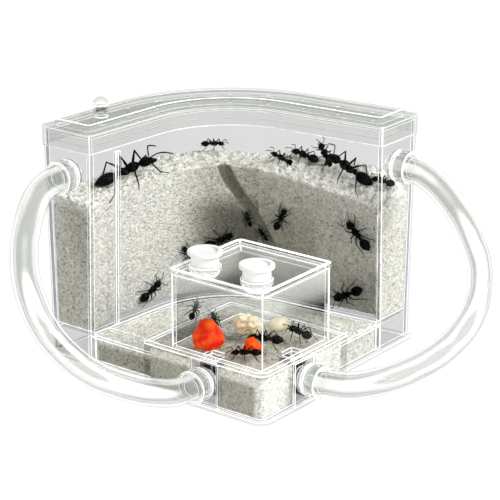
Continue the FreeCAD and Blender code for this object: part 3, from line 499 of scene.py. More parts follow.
def clear_part(node, slot="clear_acrylic", radius=None, kind="sheet", bright=None, cut=None, glued=None):
    """Stand a clear piece, whose rounded edges carry a painted glow, in a node's place; three tests choose
    its faces.
    """
    settings = bpy.context.scene.habitat_sheet
    piece = merged_copy(node, node + "_clear")
    for material in clear_materials(settings, kind):
        piece.data.materials.append(material)
    for face in piece.data.polygons:
        place = face.center / MM
        # Faces that a bright test chooses take the edge material with its painted glow, as do the rounded
        # edges.
        if bright and bright(place, face.normal):
            face.material_index = 1
        if cut and cut(place, face.normal):
            face.material_index = 2
    add_modifier(piece, "film", "DISPLACE", mid_level=0.0, strength=-settings.film)
    round_off(piece, radius or settings.edge_radius, 2, material=1)
    if glued:
        leave_out(piece, glued)
    hand_over(piece, slot, node)


def leave_out(piece, glued):
    """Take off the faces that lie on another sheet, where a bonded joint shows no surface of its own."""
    shape = bmesh.new()
    shape.from_mesh(piece.data)
    middle = sum((vertex.co for vertex in shape.verts), Vector()) / len(shape.verts)
    faces = []
    for face in shape.faces:
        heights = [vertex.co.z / MM for vertex in face.verts]
        inward = (middle - face.calc_center_median()).dot(face.normal) > 0
        if face.material_index == 0 and glued(min(heights), max(heights), face.normal, inward):
            faces.append(face)
    bmesh.ops.delete(shape, geom=faces, context="FACES")
    shape.to_mesh(piece.data)
    shape.free()


# The tests that choose a clear part's faces; a bright test gives a face the painted glow. A bright or cut
# test takes a face's middle and its normal, and a glued one takes its lowest and highest z, its normal and
# whether it looks inward.
# A face looks along an axis from LEVEL on, and is upright when its normal's z is under UPRIGHT.
LEVEL, UPRIGHT = 0.9, 0.3
# A face lies at a height when it is this near to it, and at an arm's end when it is that near, in mm.
NEAR, ARM_END_DEPTH = 0.2, 4.0
# The upright faces of a wall, without its rounded edges, are taller than this.
TALL_FACE = 15.0


def on_corner(place, normal, limit=0.58):
    """True in the middle of a rounded upright corner."""
    return min(abs(normal.x), abs(normal.y)) > limit


def near_arm_end(place):
    """True near the ends of the nest's arms."""
    return place.y < LEFT_ARM_END + ARM_END_DEPTH or place.x > BACK_ARM_END - ARM_END_DEPTH


def on_arm_corner(place, normal):
    """True in the middle of a rounded upright corner at the ends of the nest's arms."""
    return on_corner(place, normal, 0.64) and near_arm_end(place)


def on_box_corner(place, normal):
    """True on three of the feeding box's upright corners, which take the painted glow: the one at the back
    lies in the shade.
    """
    middle = (FEEDING_LOW + FEEDING_HIGH) / 2
    left, back = place.x < middle.x, place.y > middle.y
    return not (left and back) and on_corner(place, normal, 0.2 if left or back else 0.62)


def at_arm_end(place, normal):
    """True on the cut ends of the nest's walls."""
    return max(-normal.y, normal.x) > LEVEL and near_arm_end(place)


def on_lid_bead(place, normal):
    """True on the top of the raised bead of the nest's lid and on its upright corners."""
    return (place.z > NEST_LID_TOP - NEAR and normal.z > LEVEL) or on_arm_corner(place, normal)


def on_feeding_bead(place, normal):
    """True on the top of the raised bead of the feeding lid and on the lid's upright corners."""
    return (place.z > FEEDING_LID_TOP - NEAR and normal.z > LEVEL) or on_corner(place, normal)


def on_underside(low, high, normal, inward):
    """True on the underside of a sheet."""
    return normal.z < -LEVEL


def under_window(low, high, normal, inward):
    """True on the top of the module's walls, under its window, and on their inner sides, on the sand."""
    under = normal.z > LEVEL and low > WINDOW_UNDERSIDE - NEAR
    return under or (abs(normal.z) < UPRIGHT and inward and high - low > TALL_FACE)


def inside_skirt(low, high, normal, inward):
    """True on the sides of the nest lid's lip and on the inside of its skirt, which end at the rim."""
    return abs(normal.z) < UPRIGHT and high < NEST_RIM + NEAR


def on_lid_lip(low, high, normal, inward):
    """True on the sides of the feeding lid's lip, which end at the box's rim."""
    return abs(normal.z) < UPRIGHT and high < FEEDING_HIGH.z + NEAR


class HABITAT_OT_nest(bpy.types.Operator):
    """Dress the nest tank, its floor and the low walls of the base"""

    bl_idname = "habitat.nest"
    bl_label = "Nest tank"

    def execute(self, context):
        """Make the tank's clear sheets."""
        clear_part("outer_wall", bright=on_arm_corner, cut=at_arm_end)
        for node in ("inner_wall", "end_panel_left", "end_panel_right"):
            clear_part(node, bright=on_arm_corner)
        for node in ("inner_rib", "nest_floor", "plinth_wall", "base_plate"):
            clear_part(node)
        for node in ("base_wall_front_left", "base_wall_front_right"):
            clear_part(node, bright=on_corner)
        for node in ("base_cover_front", "base_cover_rear"):
            clear_part(node, radius=0.2 * MM, kind="cover", glued=on_underside)
        return {"FINISHED"}


class HABITAT_OT_nest_lid(bpy.types.Operator):
    """Dress the nest's lid, its water port and the stopper"""

    bl_idname = "habitat.nest_lid"
    bl_label = "Nest lid"

    def execute(self, context):
        """Make the lid's clear pieces."""
        clear_part("nest_lid", radius=0.45 * MM, kind="lid", bright=on_lid_bead, glued=inside_skirt)
        clear_part("water_port", radius=0.3 * MM)
        clear_part("port_stopper", radius=0.25 * MM, kind="lid")
        return {"FINISHED"}


class HABITAT_OT_module(bpy.types.Operator):
    """Dress the module, its window, ducts and boss plates"""

    bl_idname = "habitat.module"
    bl_label = "Module"

    def execute(self, context):
        """Make the module's clear pieces."""
        clear_part("module_window", kind="cover", glued=on_underside)
        clear_part("module_shell", glued=under_window)
        for node in ("duct_left", "duct_right", "boss_plate_left", "boss_plate_right"):
            clear_part(node)
        return {"FINISHED"}


class HABITAT_OT_feeding_box(bpy.types.Operator):
    """Dress the feeding box, its lid and the filling ports"""

    bl_idname = "habitat.feeding_box"
    bl_label = "Feeding box"

    def execute(self, context):
        """Make the box's clear pieces."""
        clear_part("feeding_box", kind="box", bright=on_box_corner)
        clear_part("feeding_lid", radius=0.3 * MM, kind="cover", bright=on_feeding_bead, glued=on_lid_lip)
        for side in ("left", "right"):
            clear_part("fill_port_" + side, radius=0.3 * MM, kind="thick")
        return {"FINISHED"}


class HABITAT_OT_sockets(bpy.types.Operator):
    """Dress the hose sockets and the collars on them"""

    bl_idname = "habitat.sockets"
    bl_label = "Sockets"

    def execute(self, context):
        """Make the sockets and collars."""
        for place in ("upper_left", "upper_right", "lower_left", "lower_right"):
            clear_part("socket_" + place, radius=0.25 * MM, kind="thick")
            clear_part("collar_" + place, "clear_vinyl", radius=0.4 * MM, kind="thick")
        return {"FINISHED"}


# ---------------------------------------------------------------- hoses
def set_stops(ramp, stops):
    """Give a colour ramp a colour at each place."""
    while len(ramp.elements) < len(stops):
        ramp.elements.new(1.0)
    for element, (place, colour) in zip(ramp.elements, stops):
        element.position = place
        element.color = colour


def clear_vinyl(name, tint, shade, line):
    """Extruded soft vinyl with painted light and shade: long white bands with grey-green painted shade bands
    between, laid out by how the wall faces the view and by its normal's height, and a faint painted glow.
    """
    material, tree, place = new_material(name)
    wander = mottled(tree, place, 22, 1.0, (0.3, 0.7), (-0.05, 0.05))
    facing = add_node(tree, "ShaderNodeLayerWeight", {"Blend": 0.5}).outputs["Facing"]
    normal = add_node(tree, "ShaderNodeNewGeometry").outputs["Normal"]
    upward = add_node(tree, "ShaderNodeSeparateXYZ", {"Vector": normal}).outputs["Z"]
    lean = add_node(tree, "ShaderNodeMath", {0: upward, 1: 0.05}, operation="MULTIPLY")
    shifted = add_node(tree, "ShaderNodeMath", {0: facing, 1: wander}, operation="ADD")
    across = add_node(tree, "ShaderNodeMath", {0: shifted, 1: lean}, operation="ADD")
    # From the hose's middle to its side: each painted light or shade band's place, its colour and how solid
    # it is.
    bands = [
        (0.0, shade, 0.12), (0.05, shade, 0.14), (0.1, tint, 0.4), (0.2, tint, 0.45), (0.27, shade, 0.25),
        (0.42, shade, 0.27), (0.55, tint, 0.35), (0.72, tint, 0.3), (0.88, line, 0.5), (1.0, line, 0.6),
    ]
    colour = add_node(tree, "ShaderNodeValToRGB", {"Fac": across})
    body = add_node(tree, "ShaderNodeValToRGB", {"Fac": across})
    set_stops(colour.color_ramp, [(stop, hue) for stop, hue, depth in bands])
    set_stops(body.color_ramp, [(stop, (depth, depth, depth, 1.0)) for stop, hue, depth in bands])
    # The bands also give a faint painted glow.
    return finished(material, {
        "Base Color": colour,
        "Roughness": 0.04,
        "IOR": 1.5,
        "Emission Color": colour,
        "Emission Strength": 0.1,
        "Alpha": body,
    })


def route_points(route):
    """Points of the smooth line through a route, read from its NURBS curve."""
    curve = bpy.data.curves.new("route", "CURVE")
    curve.dimensions = "3D"
    spline = curve.splines.new("NURBS")
    spline.points.add(len(route) - 1)
    for point, place in zip(spline.points, route):
        point.co = (*(Vector(place) * MM), 1.0)
    spline.order_u = 3
    spline.use_endpoint_u = True
    spline.resolution_u = 16
    holder = new_piece("route", curve)
    evaluated = holder.evaluated_get(bpy.context.evaluated_depsgraph_get())
    mesh = bpy.data.meshes.new_from_object(evaluated)
    points = [vertex.co.copy() for vertex in mesh.vertices]
    bpy.data.objects.remove(holder)
    bpy.data.meshes.remove(mesh)
    bpy.data.curves.remove(curve)
    return points


def hose_mesh(name, points, outside, bore, sides=40):
    """A tube with a bore that follows points, closed by flat rings at its ends."""
    shape = bmesh.new()
    skins = []
    for radius in (outside / 2, bore / 2):
        rings = []
        for point, (side, across) in zip(points, path_frames(points)):
            rings.append(add_ring(shape, point, side * radius, across * radius, sides))
        join_rings(shape, rings)
        skins.append(rings)
    outer, inner = skins
    for end in (0, -1):
        join_rings(shape, [outer[end], inner[end]])
    bmesh.ops.recalc_face_normals(shape, faces=shape.faces)
    return finished_mesh(shape, name, 40)


class HABITAT_OT_hoses(bpy.types.Operator):
    """Make the two clear hoses"""

    bl_idname = "habitat.hoses"
    bl_label = "Hoses"

    def execute(self, context):
        """Sweep each hose along its route."""
        settings = context.scene.habitat_hose
        colours = [settings.tint[:], settings.shade[:], settings.line[:]]
        vinyl = known_material("clear_vinyl_extruded", clear_vinyl, *colours)
        for node, route in (("hose_left", LEFT_HOSE_ROUTE), ("hose_right", RIGHT_HOSE_ROUTE)):
            points = route_points(route)
            mesh = hose_mesh(node, points, settings.outside, settings.bore)
            piece = new_piece(node + "_clear", mesh)
            piece.data.materials.append(vinyl)
            hand_over(piece, "clear_vinyl", node)
            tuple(points[0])
        return {"FINISHED"}


# ---------------------------------------------------------------- sand
# Sizes of the crumbs on the sand's top, of its grit and of the pits in its sides, in mm.
LARGE_CRUMB, SMALL_CRUMB, GRIT, PIT = 3.4, 1.9, 0.9, 1.3
# Heights of the sand's top in the nest: at the left arm's end, and along the crest of the back arm,
# which falls by a share of the way from a place along X on.
LEFT_TOP, CREST_TOP, CREST_FROM, CREST_FALL = 84.0, 84.5, 4.0, 0.148
# Angles about the bend's centre, in degrees: the middle of the bend, and where the back arm begins.
BEND_MIDDLE, BACK_ARM_FROM = 112.0, 92.0
LOOSE_GRAINS_PER_SQUARE_MM = 0.25
LOOSE_GRAINS_SEED = 7


def cell_marks(tree, place, size_mm, share, inner, outer):
    """1 in the middle of a share of the cells of a pattern, and 0 between them."""
    cells = add_node(tree, "ShaderNodeTexVoronoi", {"Vector": place, "Scale": per_mm(size_mm)})
    chosen = add_node(tree, "ShaderNodeMath", {0: cells.outputs["Color"], 1: share}, operation="LESS_THAN")
    fading = {"Value": cells, "From Min": inner, "From Max": outer, "To Min": 1.0, "To Max": 0.0}
    mark = add_node(tree, "ShaderNodeMapRange", fading)
    return add_node(tree, "ShaderNodeMath", {0: chosen, 1: mark}, operation="MULTIPLY")


def quartz_sand(name, dry, damp, painted_gap_shade):
    """Fine quartz sand: grains of many greys, with painted shade where an attribute asks for it, in its
    gaps, pits and hollows, and painted light on its crumbs.
    """
    material, tree, place = new_material(name)
    # Two attributes hold painted light and shade: each point's painted shade, and painted shade in hollows
    # with painted light on crumb tops.
    painted_shade_amount = add_node(tree, "ShaderNodeAttribute", attribute_name="damp").outputs["Fac"]
    hollow = add_node(tree, "ShaderNodeAttribute", attribute_name="hollow").outputs["Fac"]
    painted_shade_share = add_node(tree, "ShaderNodeClamp", {"Value": painted_shade_amount})
    ground = add_node(tree, "ShaderNodeMix", {"Factor": painted_shade_share, FIRST: dry, SECOND: damp}, data_type="RGBA")
    # Quartz grains of about 1 mm, each of its own grey: finer ones would not show.
    grains = add_node(tree, "ShaderNodeTexVoronoi", {"Vector": place, "Scale": per_mm(1.15)})
    shades = {"Value": grains.outputs["Color"], "To Min": 0.7, "To Max": 1.27}
    shade = add_node(tree, "ShaderNodeMapRange", shades)
    # Painted shade in the hollows between the crumbs, and painted light on their tops, where the value is
    # below 0.
    shading = {"Value": hollow, "To Min": 1.05, "To Max": 0.55}
    shadow = add_node(tree, "ShaderNodeMapRange", shading, clamp=False)
    # A painted shade amount above 1 is the tunnel's: there the painted shade only gets darker.
    darkening = {"Value": painted_shade_amount, "From Min": 1.0, "From Max": 2.6, "To Min": 1.0, "To Max": 0.2}
    deep_shade = add_node(tree, "ShaderNodeMapRange", darkening)
    shadow = add_node(tree, "ShaderNodeMath", {0: shadow, 1: deep_shade}, operation="MULTIPLY")
    lit = add_node(tree, "ShaderNodeMath", {0: shade, 1: shadow}, operation="MULTIPLY")
    shaded = add_node(tree, "ShaderNodeVectorMath", {0: ground.outputs[MIXED], 1: lit}, operation="MULTIPLY")
    # The painted shade of the gaps and pits is moved about by up to 1.5 mm, so that it has no regular
    # outline.
    warp = add_node(tree, "ShaderNodeTexNoise", {"Vector": place, "Scale": per_mm(1.1), "Detail": 2.0})
    offset = {0: warp.outputs["Color"], 1: (1.5 * MM, 1.5 * MM, 1.5 * MM)}
    moved = add_node(tree, "ShaderNodeVectorMath", offset, operation="MULTIPLY")
    crooked = add_node(tree, "ShaderNodeVectorMath", {0: place, 1: moved}, operation="ADD").outputs["Vector"]
    # Painted shade in the gaps between the grains and in the pits, fainter where the sand takes less painted
    # shade.
    gaps = cell_marks(tree, crooked, 1.2, 0.4, 0.2, 0.5)
    pits = cell_marks(tree, crooked, 2.3, 0.5, 0.1, 0.26)
    soft = add_node(tree, "ShaderNodeMath", {0: gaps, 1: 0.5}, operation="MULTIPLY")
    marks = add_node(tree, "ShaderNodeMath", {0: soft, 1: pits}, operation="MAXIMUM")
    faint = add_node(tree, "ShaderNodeMapRange", {"Value": painted_shade_amount, "To Min": 0.3, "To Max": 0.75})
    dark = add_node(tree, "ShaderNodeMath", {0: marks, 1: faint}, operation="MULTIPLY")
    marked = {"Factor": dark, FIRST: shaded, SECOND: painted_gap_shade}
    colour = add_node(tree, "ShaderNodeMix", marked, data_type="RGBA")
    dents = add_node(tree, "ShaderNodeMath", {0: grains, 1: marks}, operation="ADD")
    depth = {"Height": dents, "Strength": 1.0, "Distance": 0.6 * MM}
    relief = add_node(tree, "ShaderNodeBump", depth, invert=True)
    return finished(material, {"Base Color": colour.outputs[MIXED], "Roughness": 0.9, "Normal": relief})


def arm_place(x, y):
    """How deep a point is inside the nest's outer face, in mm, and its angle about the bend's centre."""
    offset = Vector((x, y)) - BEND_CENTRE
    angle = math.degrees(math.atan2(offset.y, offset.x)) % 360
    left_limit = math.degrees(math.atan2(-LEFT_INWARD.y, -LEFT_INWARD.x)) % 360
    back_limit = math.degrees(math.atan2(-BACK_INWARD.y, -BACK_INWARD.x)) % 360
    if angle > left_limit:
        return BEND_RADIUS + offset.dot(LEFT_INWARD), angle
    if angle < back_limit:
        return BEND_RADIUS + offset.dot(BACK_INWARD), angle
    return BEND_RADIUS - offset.length, angle


def crumble(piece, lump, painted_shade_amount):
    """Roughen a sand piece: crumbs on top, small pits on its sides, how much painted shade each point takes,
    and painted shade in the hollows between the crumbs with painted light on their tops.
    """
    shape = bmesh.new()
    shape.from_mesh(piece.data)
    shape.normal_update()
    damp = shape.verts.layers.float.new("damp")
    hollow = shape.verts.layers.float.new("hollow")
    foot = min(vertex.co.z for vertex in shape.verts) + 0.5 * MM
    moves = []
    for vertex in shape.verts:
        place = vertex.co / MM
        upward = smooth_step(0.25, 0.8, vertex.normal.z)
        coarse = noise.noise(place / LARGE_CRUMB) * 0.7 + noise.noise(place / SMALL_CRUMB) * 0.7
        fine = noise.noise(place / GRIT)
        crumb = (coarse * upward + fine * 0.25 * (0.3 + upward)) * lump if upward > 0.05 else 0.0
        pit = abs(noise.noise(place / PIT)) * (1 - upward) * lump * 0.3
        moves.append(vertex.normal * ((crumb - pit) if vertex.co.z >= foot else 0.0))
        # The point's painted shade; and painted shade in the hollows between crumbs, with painted light on
        # their tops where it is below 0.
        vertex[damp] = painted_shade_amount(place, vertex.normal)
        vertex[hollow] = (smooth_step(0.1, -0.6, coarse) - 0.35) * upward * min(lump / MM, 1.0)
    for vertex, move in zip(shape.verts, moves):
        vertex.co += move
    shape.to_mesh(piece.data)
    shape.free()
    piece.data.shade_smooth()


def nest_painted_shade(place, normal):
    """How much painted shade the nest's sand takes: painted light along its top, its left arm and its
    upright corners, painted shade within.
    """
    depth, angle = arm_place(place.x, place.y)
    # The arms' end faces: the left one takes painted shade under painted light along its top, the back one
    # little painted shade.
    if place.y < LEFT_ARM_END + 4.5 and normal.y < -0.5:
        return 0.62 * smooth_step(2.5, 6.0, LEFT_TOP - place.z)
    if place.x > BACK_ARM_END - 4.0 and normal.x > 0.5:
        return 0.15
    if depth < SAND_FACE_DEPTH - 6.0:
        return 0.0 if normal.z > 0.3 else 0.6
    # In the bend, the painted shade grows as the face turns away from the light, and is deeper low down.
    if angle > BEND_MIDDLE:
        face = smooth_step(172.0, BEND_MIDDLE, angle)
        deep_shade = 1.35 * smooth_step(160.0, 132.0, angle) * smooth_step(74.0, 60.0, place.z)
    else:
        # On the back arm: painted shade, with painted light along the crest and at the arm's end, deeper low
        # down.
        under_crest = CREST_TOP - max(place.x - CREST_FROM, 0.0) * CREST_FALL - place.z
        face = 1.0 - 0.34 * smooth_step(BEND_MIDDLE, BACK_ARM_FROM, angle)
        face *= smooth_step(0.0, 2.5, under_crest) * (1.0 - 0.22 * smooth_step(12.0, 2.0, under_crest))
        face *= smooth_step(2.0, 4.5, SAND_HIGH.x - place.x)
        deep_shade = 0.5 * smooth_step(72.0, 56.0, place.z) * smooth_step(70.0, 84.0, angle)
    if face > 0.0:
        face += deep_shade * (1.0 + (1.0 - face) * 0.6)
    # The wall of the tunnel that is dug into the bend's face takes painted shade that gets darker with its
    # depth.
    buried = SAND_FACE_DEPTH + (place.z - NEST_FLOOR_TOP) * DRAFT - depth
    if 95.0 < angle < 140.0 and abs(normal.z) < 0.6:
        deep = 1.9 + 0.3 * smooth_step(56.0, 74.0, place.z)
        face += (deep - face) * smooth_step(0.7, 2.2, buried)
    # Upward faces take less painted shade.
    return face * (1.0 - 0.75 * smooth_step(0.3, 0.9, normal.z))


def block_painted_shade(node, front_shade, top_shade, least):
    """How much painted shade the sand of a low block takes: on its front-left face, on its top and
    elsewhere.
    """
    high = reach(node)[1]

    def painted_shade_amount(place, normal):
        """How much painted shade one point of the block takes."""
        # The front-left face takes painted shade, with painted light along its top and its right end; the
        # top takes its own.
        frontal = smooth_step(0.5, 0.85, -normal.y)
        side = frontal * smooth_step(2.5, 5.5, high.z - place.z) * smooth_step(2.6, 6.1, high.x - place.x)
        return max(front_shade * side, top_shade * smooth_step(0.4, 0.9, normal.z), least)

    return painted_shade_amount


def grain_nodes(name):
    """Geometry nodes that strew small loose grains over the upward faces of a bed of sand."""
    tree = bpy.data.node_groups.new(name, "GeometryNodeTree")
    sockets = {"Geometry": "Geometry", "Density": "Float", "Smallest": "Float", "Largest": "Float"}
    sockets.update({"Seed": "Int", "Sand": "Material"})
    for label, kind in sockets.items():
        tree.interface.new_socket(label, in_out="INPUT", socket_type="NodeSocket" + kind)
    tree.interface.new_socket("Geometry", in_out="OUTPUT", socket_type="NodeSocketGeometry")
    given = add_node(tree, "NodeGroupInput").outputs
    normal = add_node(tree, "GeometryNodeInputNormal")
    rise = add_node(tree, "ShaderNodeSeparateXYZ", {"Vector": normal}).outputs["Z"]
    upward = add_node(tree, "ShaderNodeMath", {0: rise, 1: 0.55}, operation="GREATER_THAN")
    strewing = {"Mesh": given["Geometry"], "Selection": upward}
    strewing.update({key: given[key] for key in ("Density", "Seed")})
    spots = add_node(tree, "GeometryNodeDistributePointsOnFaces", strewing)
    grain = add_node(tree, "GeometryNodeMeshIcoSphere", {"Radius": 1.0, "Subdivisions": 1})
    full_turn = (6.3, 6.3, 6.3)
    turn = add_node(tree, "FunctionNodeRandomValue", {0: (0, 0, 0), 1: full_turn}, data_type="FLOAT_VECTOR")
    sizes = {2: given["Smallest"], 3: given["Largest"]}
    size = add_node(tree, "FunctionNodeRandomValue", sizes, data_type="FLOAT").outputs[1]
    placed = {"Points": spots, "Instance": grain, "Rotation": turn, "Scale": size}
    strewn = add_node(tree, "GeometryNodeInstanceOnPoints", placed)
    joined = add_node(tree, "GeometryNodeJoinGeometry", {"Geometry": given["Geometry"]})
    tree.links.new(strewn.outputs["Instances"], joined.inputs["Geometry"])
    real = add_node(tree, "GeometryNodeRealizeInstances", {"Geometry": joined})
    dressed = add_node(tree, "GeometryNodeSetMaterial", {"Geometry": real, "Material": given["Sand"]})
    add_node(tree, "NodeGroupOutput", {"Geometry": dressed})
    return tree


def strew_grains(piece, sand):
    """Strew loose grains over a bed of sand and make it one plain mesh."""
    group = bpy.data.node_groups.get("loose_grains") or grain_nodes("loose_grains")
    strewing = add_modifier(piece, "grains", "NODES", node_group=group)
    values = {
        "Density": LOOSE_GRAINS_PER_SQUARE_MM / MM ** 2,
        "Smallest": 0.3 * MM,
        "Largest": 0.8 * MM,
        "Seed": LOOSE_GRAINS_SEED,
        "Sand": sand,
    }
    for socket in group.interface.items_tree:
        if socket.name in values:
            strewing[socket.identifier] = values[socket.name]
    bake_modifiers(piece)


class HABITAT_OT_sand(bpy.types.Operator):
    """Fill the nest, the base and the module with sand"""

    bl_idname = "habitat.sand"
    bl_label = "Sand"

    def execute(self, context):
        """Make the three beds of sand, each one even skin of small faces with crumbs and loose grains."""
        settings = context.scene.habitat_sand
        colours = [settings.dry[:], settings.damp[:], settings.painted_gap_shade[:]]
        sand = known_material("quartz_sand_fine", quartz_sand, *colours)
        # Each bed of sand: how much painted shade each point takes, and the height of its crumbs.
        beds = {
            "nest_sand": (nest_painted_shade, settings.lump),
            "module_sand": (block_painted_shade("module_sand", 1.35, 0.95, 0.2), settings.block_lump),
            "base_sand": (block_painted_shade("base_sand", 1.1, 0.35, 0.0), settings.block_lump),
        }
        for node, (painted_shade_amount, lump) in beds.items():
            piece = merged_copy(node, node + "_bed")
            add_modifier(piece, "skin", "REMESH", mode="VOXEL", voxel_size=settings.pitch)
            bake_modifiers(piece)
            crumble(piece, lump, painted_shade_amount)
            piece.data.materials.clear()
            piece.data.materials.append(sand)
            strew_grains(piece, sand)
            hand_over(piece, "sand", node)
        return {"FINISHED"}


# ---------------------------------------------------------------- ants
# An ant has length 1, and its middle is at the origin. Its body's lobes, from the gaster over the waist,
# the two parts of the thorax and the neck to the head: start, stop, radius, place of the greatest
# radius, rings, rise, height, width and sides.
ANT_LOBES = [
    (-0.5, -0.12, 0.138, 0.55, 12, 0.01, 0.84, 1.0, 22),
    (-0.15, -0.06, 0.05, 0.5, 5, 0.012, 1.2, 0.9, 10),
    (-0.1, 0.1, 0.084, 0.6, 8, -0.004, 1.0, 0.9, 14),
    (0.02, 0.245, 0.1, 0.48, 8, 0.008, 1.05, 0.95, 16),
    (0.2, 0.28, 0.042, 0.5, 4, 0.004, 1.0, 1.0, 10),
    (0.235, 0.47, 0.118, 0.42, 10, -0.008, 0.74, 1.0, 20),
]
FEELER = [
    (0.425, 0.035, 0.04), (0.48, 0.12, 0.09), (0.525, 0.185, 0.105),
    (0.58, 0.205, 0.085), (0.63, 0.215, 0.055), (0.668, 0.22, 0.03),
]
FEELER_RADII = (0.0105, 0.009, 0.01, 0.0105, 0.0105, 0.007)
# Hip, knee, ankle and toe of each leg of one side: x, y, and height in parts of the stance.
ANT_LEGS = [
    ((0.15, 0.05, -0.1), (0.29, 0.17, 0.75), (0.42, 0.24, -0.7), (0.53, 0.27, -1.0)),
    ((0.09, 0.05, -0.1), (0.07, 0.2, 0.75), (0.03, 0.3, -0.7), (-0.02, 0.365, -1.0)),
    ((0.03, 0.05, -0.1), (-0.16, 0.18, 0.85), (-0.34, 0.26, -0.66), (-0.47, 0.31, -1.0)),
]
LEG_RADII = (0.021, 0.02, 0.0145, 0.0125, 0.0095, 0.006)
THINNEST_SHARE = 0.0105


def ant_cuticle(name, shell, joint):
    """Ant cuticle: black, hard and glossy, and a little brown where it is thin."""
    material, tree, place = new_material(name)
    thin = mottled(tree, place, 1.2, 3.0, (0.5, 0.8), (0.0, 0.7))
    colour = add_node(tree, "ShaderNodeMix", {"Factor": thin, FIRST: shell, SECOND: joint}, data_type="RGBA")
    return finished(material, {
        "Base Color": colour.outputs[MIXED],
        "Roughness": mottled(tree, place, 1.2, 3.0, (0.3, 0.7), (0.06, 0.14)),
        "Specular IOR Level": 0.07,
    })


def add_lobe(shape, profile, centre, height, width, sides):
    """A lobe turned about X: its profile gives places and radii, flattened by its height and width."""
    rings = []
    for place, radius in profile:
        middle = centre + Vector((place, 0, 0))
        if radius == 0:
            rings.append([shape.verts.new(middle)])
        else:
            side, rise = Vector((0, radius * width, 0)), Vector((0, 0, radius * height))
            rings.append(add_ring(shape, middle, side, rise, sides))
    join_rings(shape, rings)


def add_limb(shape, points, radii, sides):
    """A tapered limb through points, closed at both ends."""
    rings = []
    for (side, across), point, radius in zip(path_frames(points), points, radii):
        rings.append(add_ring(shape, point, side * radius, across * radius, sides))
    join_rings(shape, rings)
    shape.faces.new(rings[0][::-1])
    shape.faces.new(rings[-1])


def oval_profile(start, stop, radius, front, rings):
    """Places and radii of an egg-shaped lobe that is widest at a share of its length."""
    power = math.log(0.5) / math.log(front)
    profile = [(start, 0.0)]
    for step in range(1, rings):
        share = step / rings
        profile.append((start + (stop - start) * share, radius * math.sin(math.pi * share ** power) ** 0.62))
    return profile + [(stop, 0.0)]


def ant_shape(stance, stout, girth):
    """One ant, its toes below its middle by the stance, with limbs and a body of their own stoutness."""
    shape = bmesh.new()
    for start, stop, radius, front, rings, rise, height, width, sides in ANT_LOBES:
        profile = oval_profile(start, stop, radius * girth, front, rings)
        add_lobe(shape, profile, Vector((0, 0, rise)), height, width, sides)
    spread = (1 + girth) / 2
    for side in (-1, 1):
        jaw = [(0.42, 0.055 * girth, -0.03), (0.48, 0.055 * girth, -0.036), (0.515, 0.01, -0.04)]
        add_limb(shape, [Vector((x, side * y, z)) for x, y, z in jaw], [0.026, 0.019, 0.006], 6)
        eye = Vector((0.35, side * 0.105 * girth, 0.022))
        add_lobe(shape, oval_profile(-0.022, 0.022, 0.017, 0.5, 4), eye, 1.0, 0.7, 8)
        feeler = [Vector((x, side * y, z)) for x, y, z in FEELER]
        add_limb(shape, feeler, [stout * radius for radius in FEELER_RADII], 6)
        for joints in ANT_LEGS:
            hip, knee, ankle, toe = [Vector((x, side * y * spread, z * stance)) for x, y, z in joints]
            thigh = hip.lerp(knee, 0.45) + Vector((0, 0, 0.012))
            shin = knee.lerp(ankle, 0.5) + (ankle - knee).cross(Vector((1, 0, 0))) * 0.06 * side
            radii = [stout * radius for radius in LEG_RADII]
            add_limb(shape, [hip, thigh, knee, shin, ankle, toe], radii, 7)
    bmesh.ops.recalc_face_normals(shape, faces=shape.faces)
    mesh = bpy.data.meshes.new("ant_pattern")
    shape.to_mesh(mesh)
    shape.free()
    return mesh


def standing(middle, heading, facing, length):
    """The placement that turns an ant to head one way with its back to another."""
    side = facing.cross(heading).normalized()
    ahead = side.cross(facing).normalized()
    turn = Matrix((ahead, side, facing)).transposed().to_4x4()
    return Matrix.Translation(middle * MM) @ turn @ Matrix.Scale(length * MM, 4)


def ground_placement(x, y, height, heading_deg, climb_deg, length):
    """Placement of an ant on the ground."""
    turn, climb = math.radians(heading_deg), math.radians(climb_deg)
    level, upward = Vector((math.cos(turn), math.sin(turn), 0)), Vector((0, 0, 1))
    heading = level * math.cos(climb) + upward * math.sin(climb)
    facing = upward * math.cos(climb) - level * math.sin(climb)
    return standing(Vector((x, y, height)) + facing * (TALL_STANCE * length), heading, facing, length)


def face_placement(angle_deg, height, turn_deg, length):
    """Placement of an ant on the sand's face."""
    spoke = Vector((math.cos(math.radians(angle_deg)), math.sin(math.radians(angle_deg))))
    outward = spoke
    if spoke.dot(-BACK_INWARD) > 0 and spoke.cross(-BACK_INWARD) > 0:
        outward = -BACK_INWARD
    if spoke.dot(-LEFT_INWARD) > 0 and spoke.cross(-LEFT_INWARD) < 0:
        outward = -LEFT_INWARD
    face_radius = BEND_RADIUS - SAND_FACE_DEPTH - (height - NEST_FLOOR_TOP) * DRAFT
    place = BEND_CENTRE + spoke * (face_radius / spoke.dot(outward))
    facing = Vector((-outward.x, -outward.y, 0))
    upward = Vector((0, 0, 1))
    turn = math.radians(turn_deg)
    heading = upward.cross(facing) * math.cos(turn) + upward * math.sin(turn)
    middle = Vector((place.x, place.y, height)) + facing * (FLAT_STANCE * length)
    return standing(middle, heading, facing, length)


def pane_placement(x, y, z, lean_deg, length):
    """Placement of the ant that climbs the feeding box's front pane."""
    lean = math.radians(lean_deg)
    heading = Vector((math.sin(lean), 0, math.cos(lean)))
    return standing(Vector((x, y, z)), heading, Vector((0, 1, 0)), length)


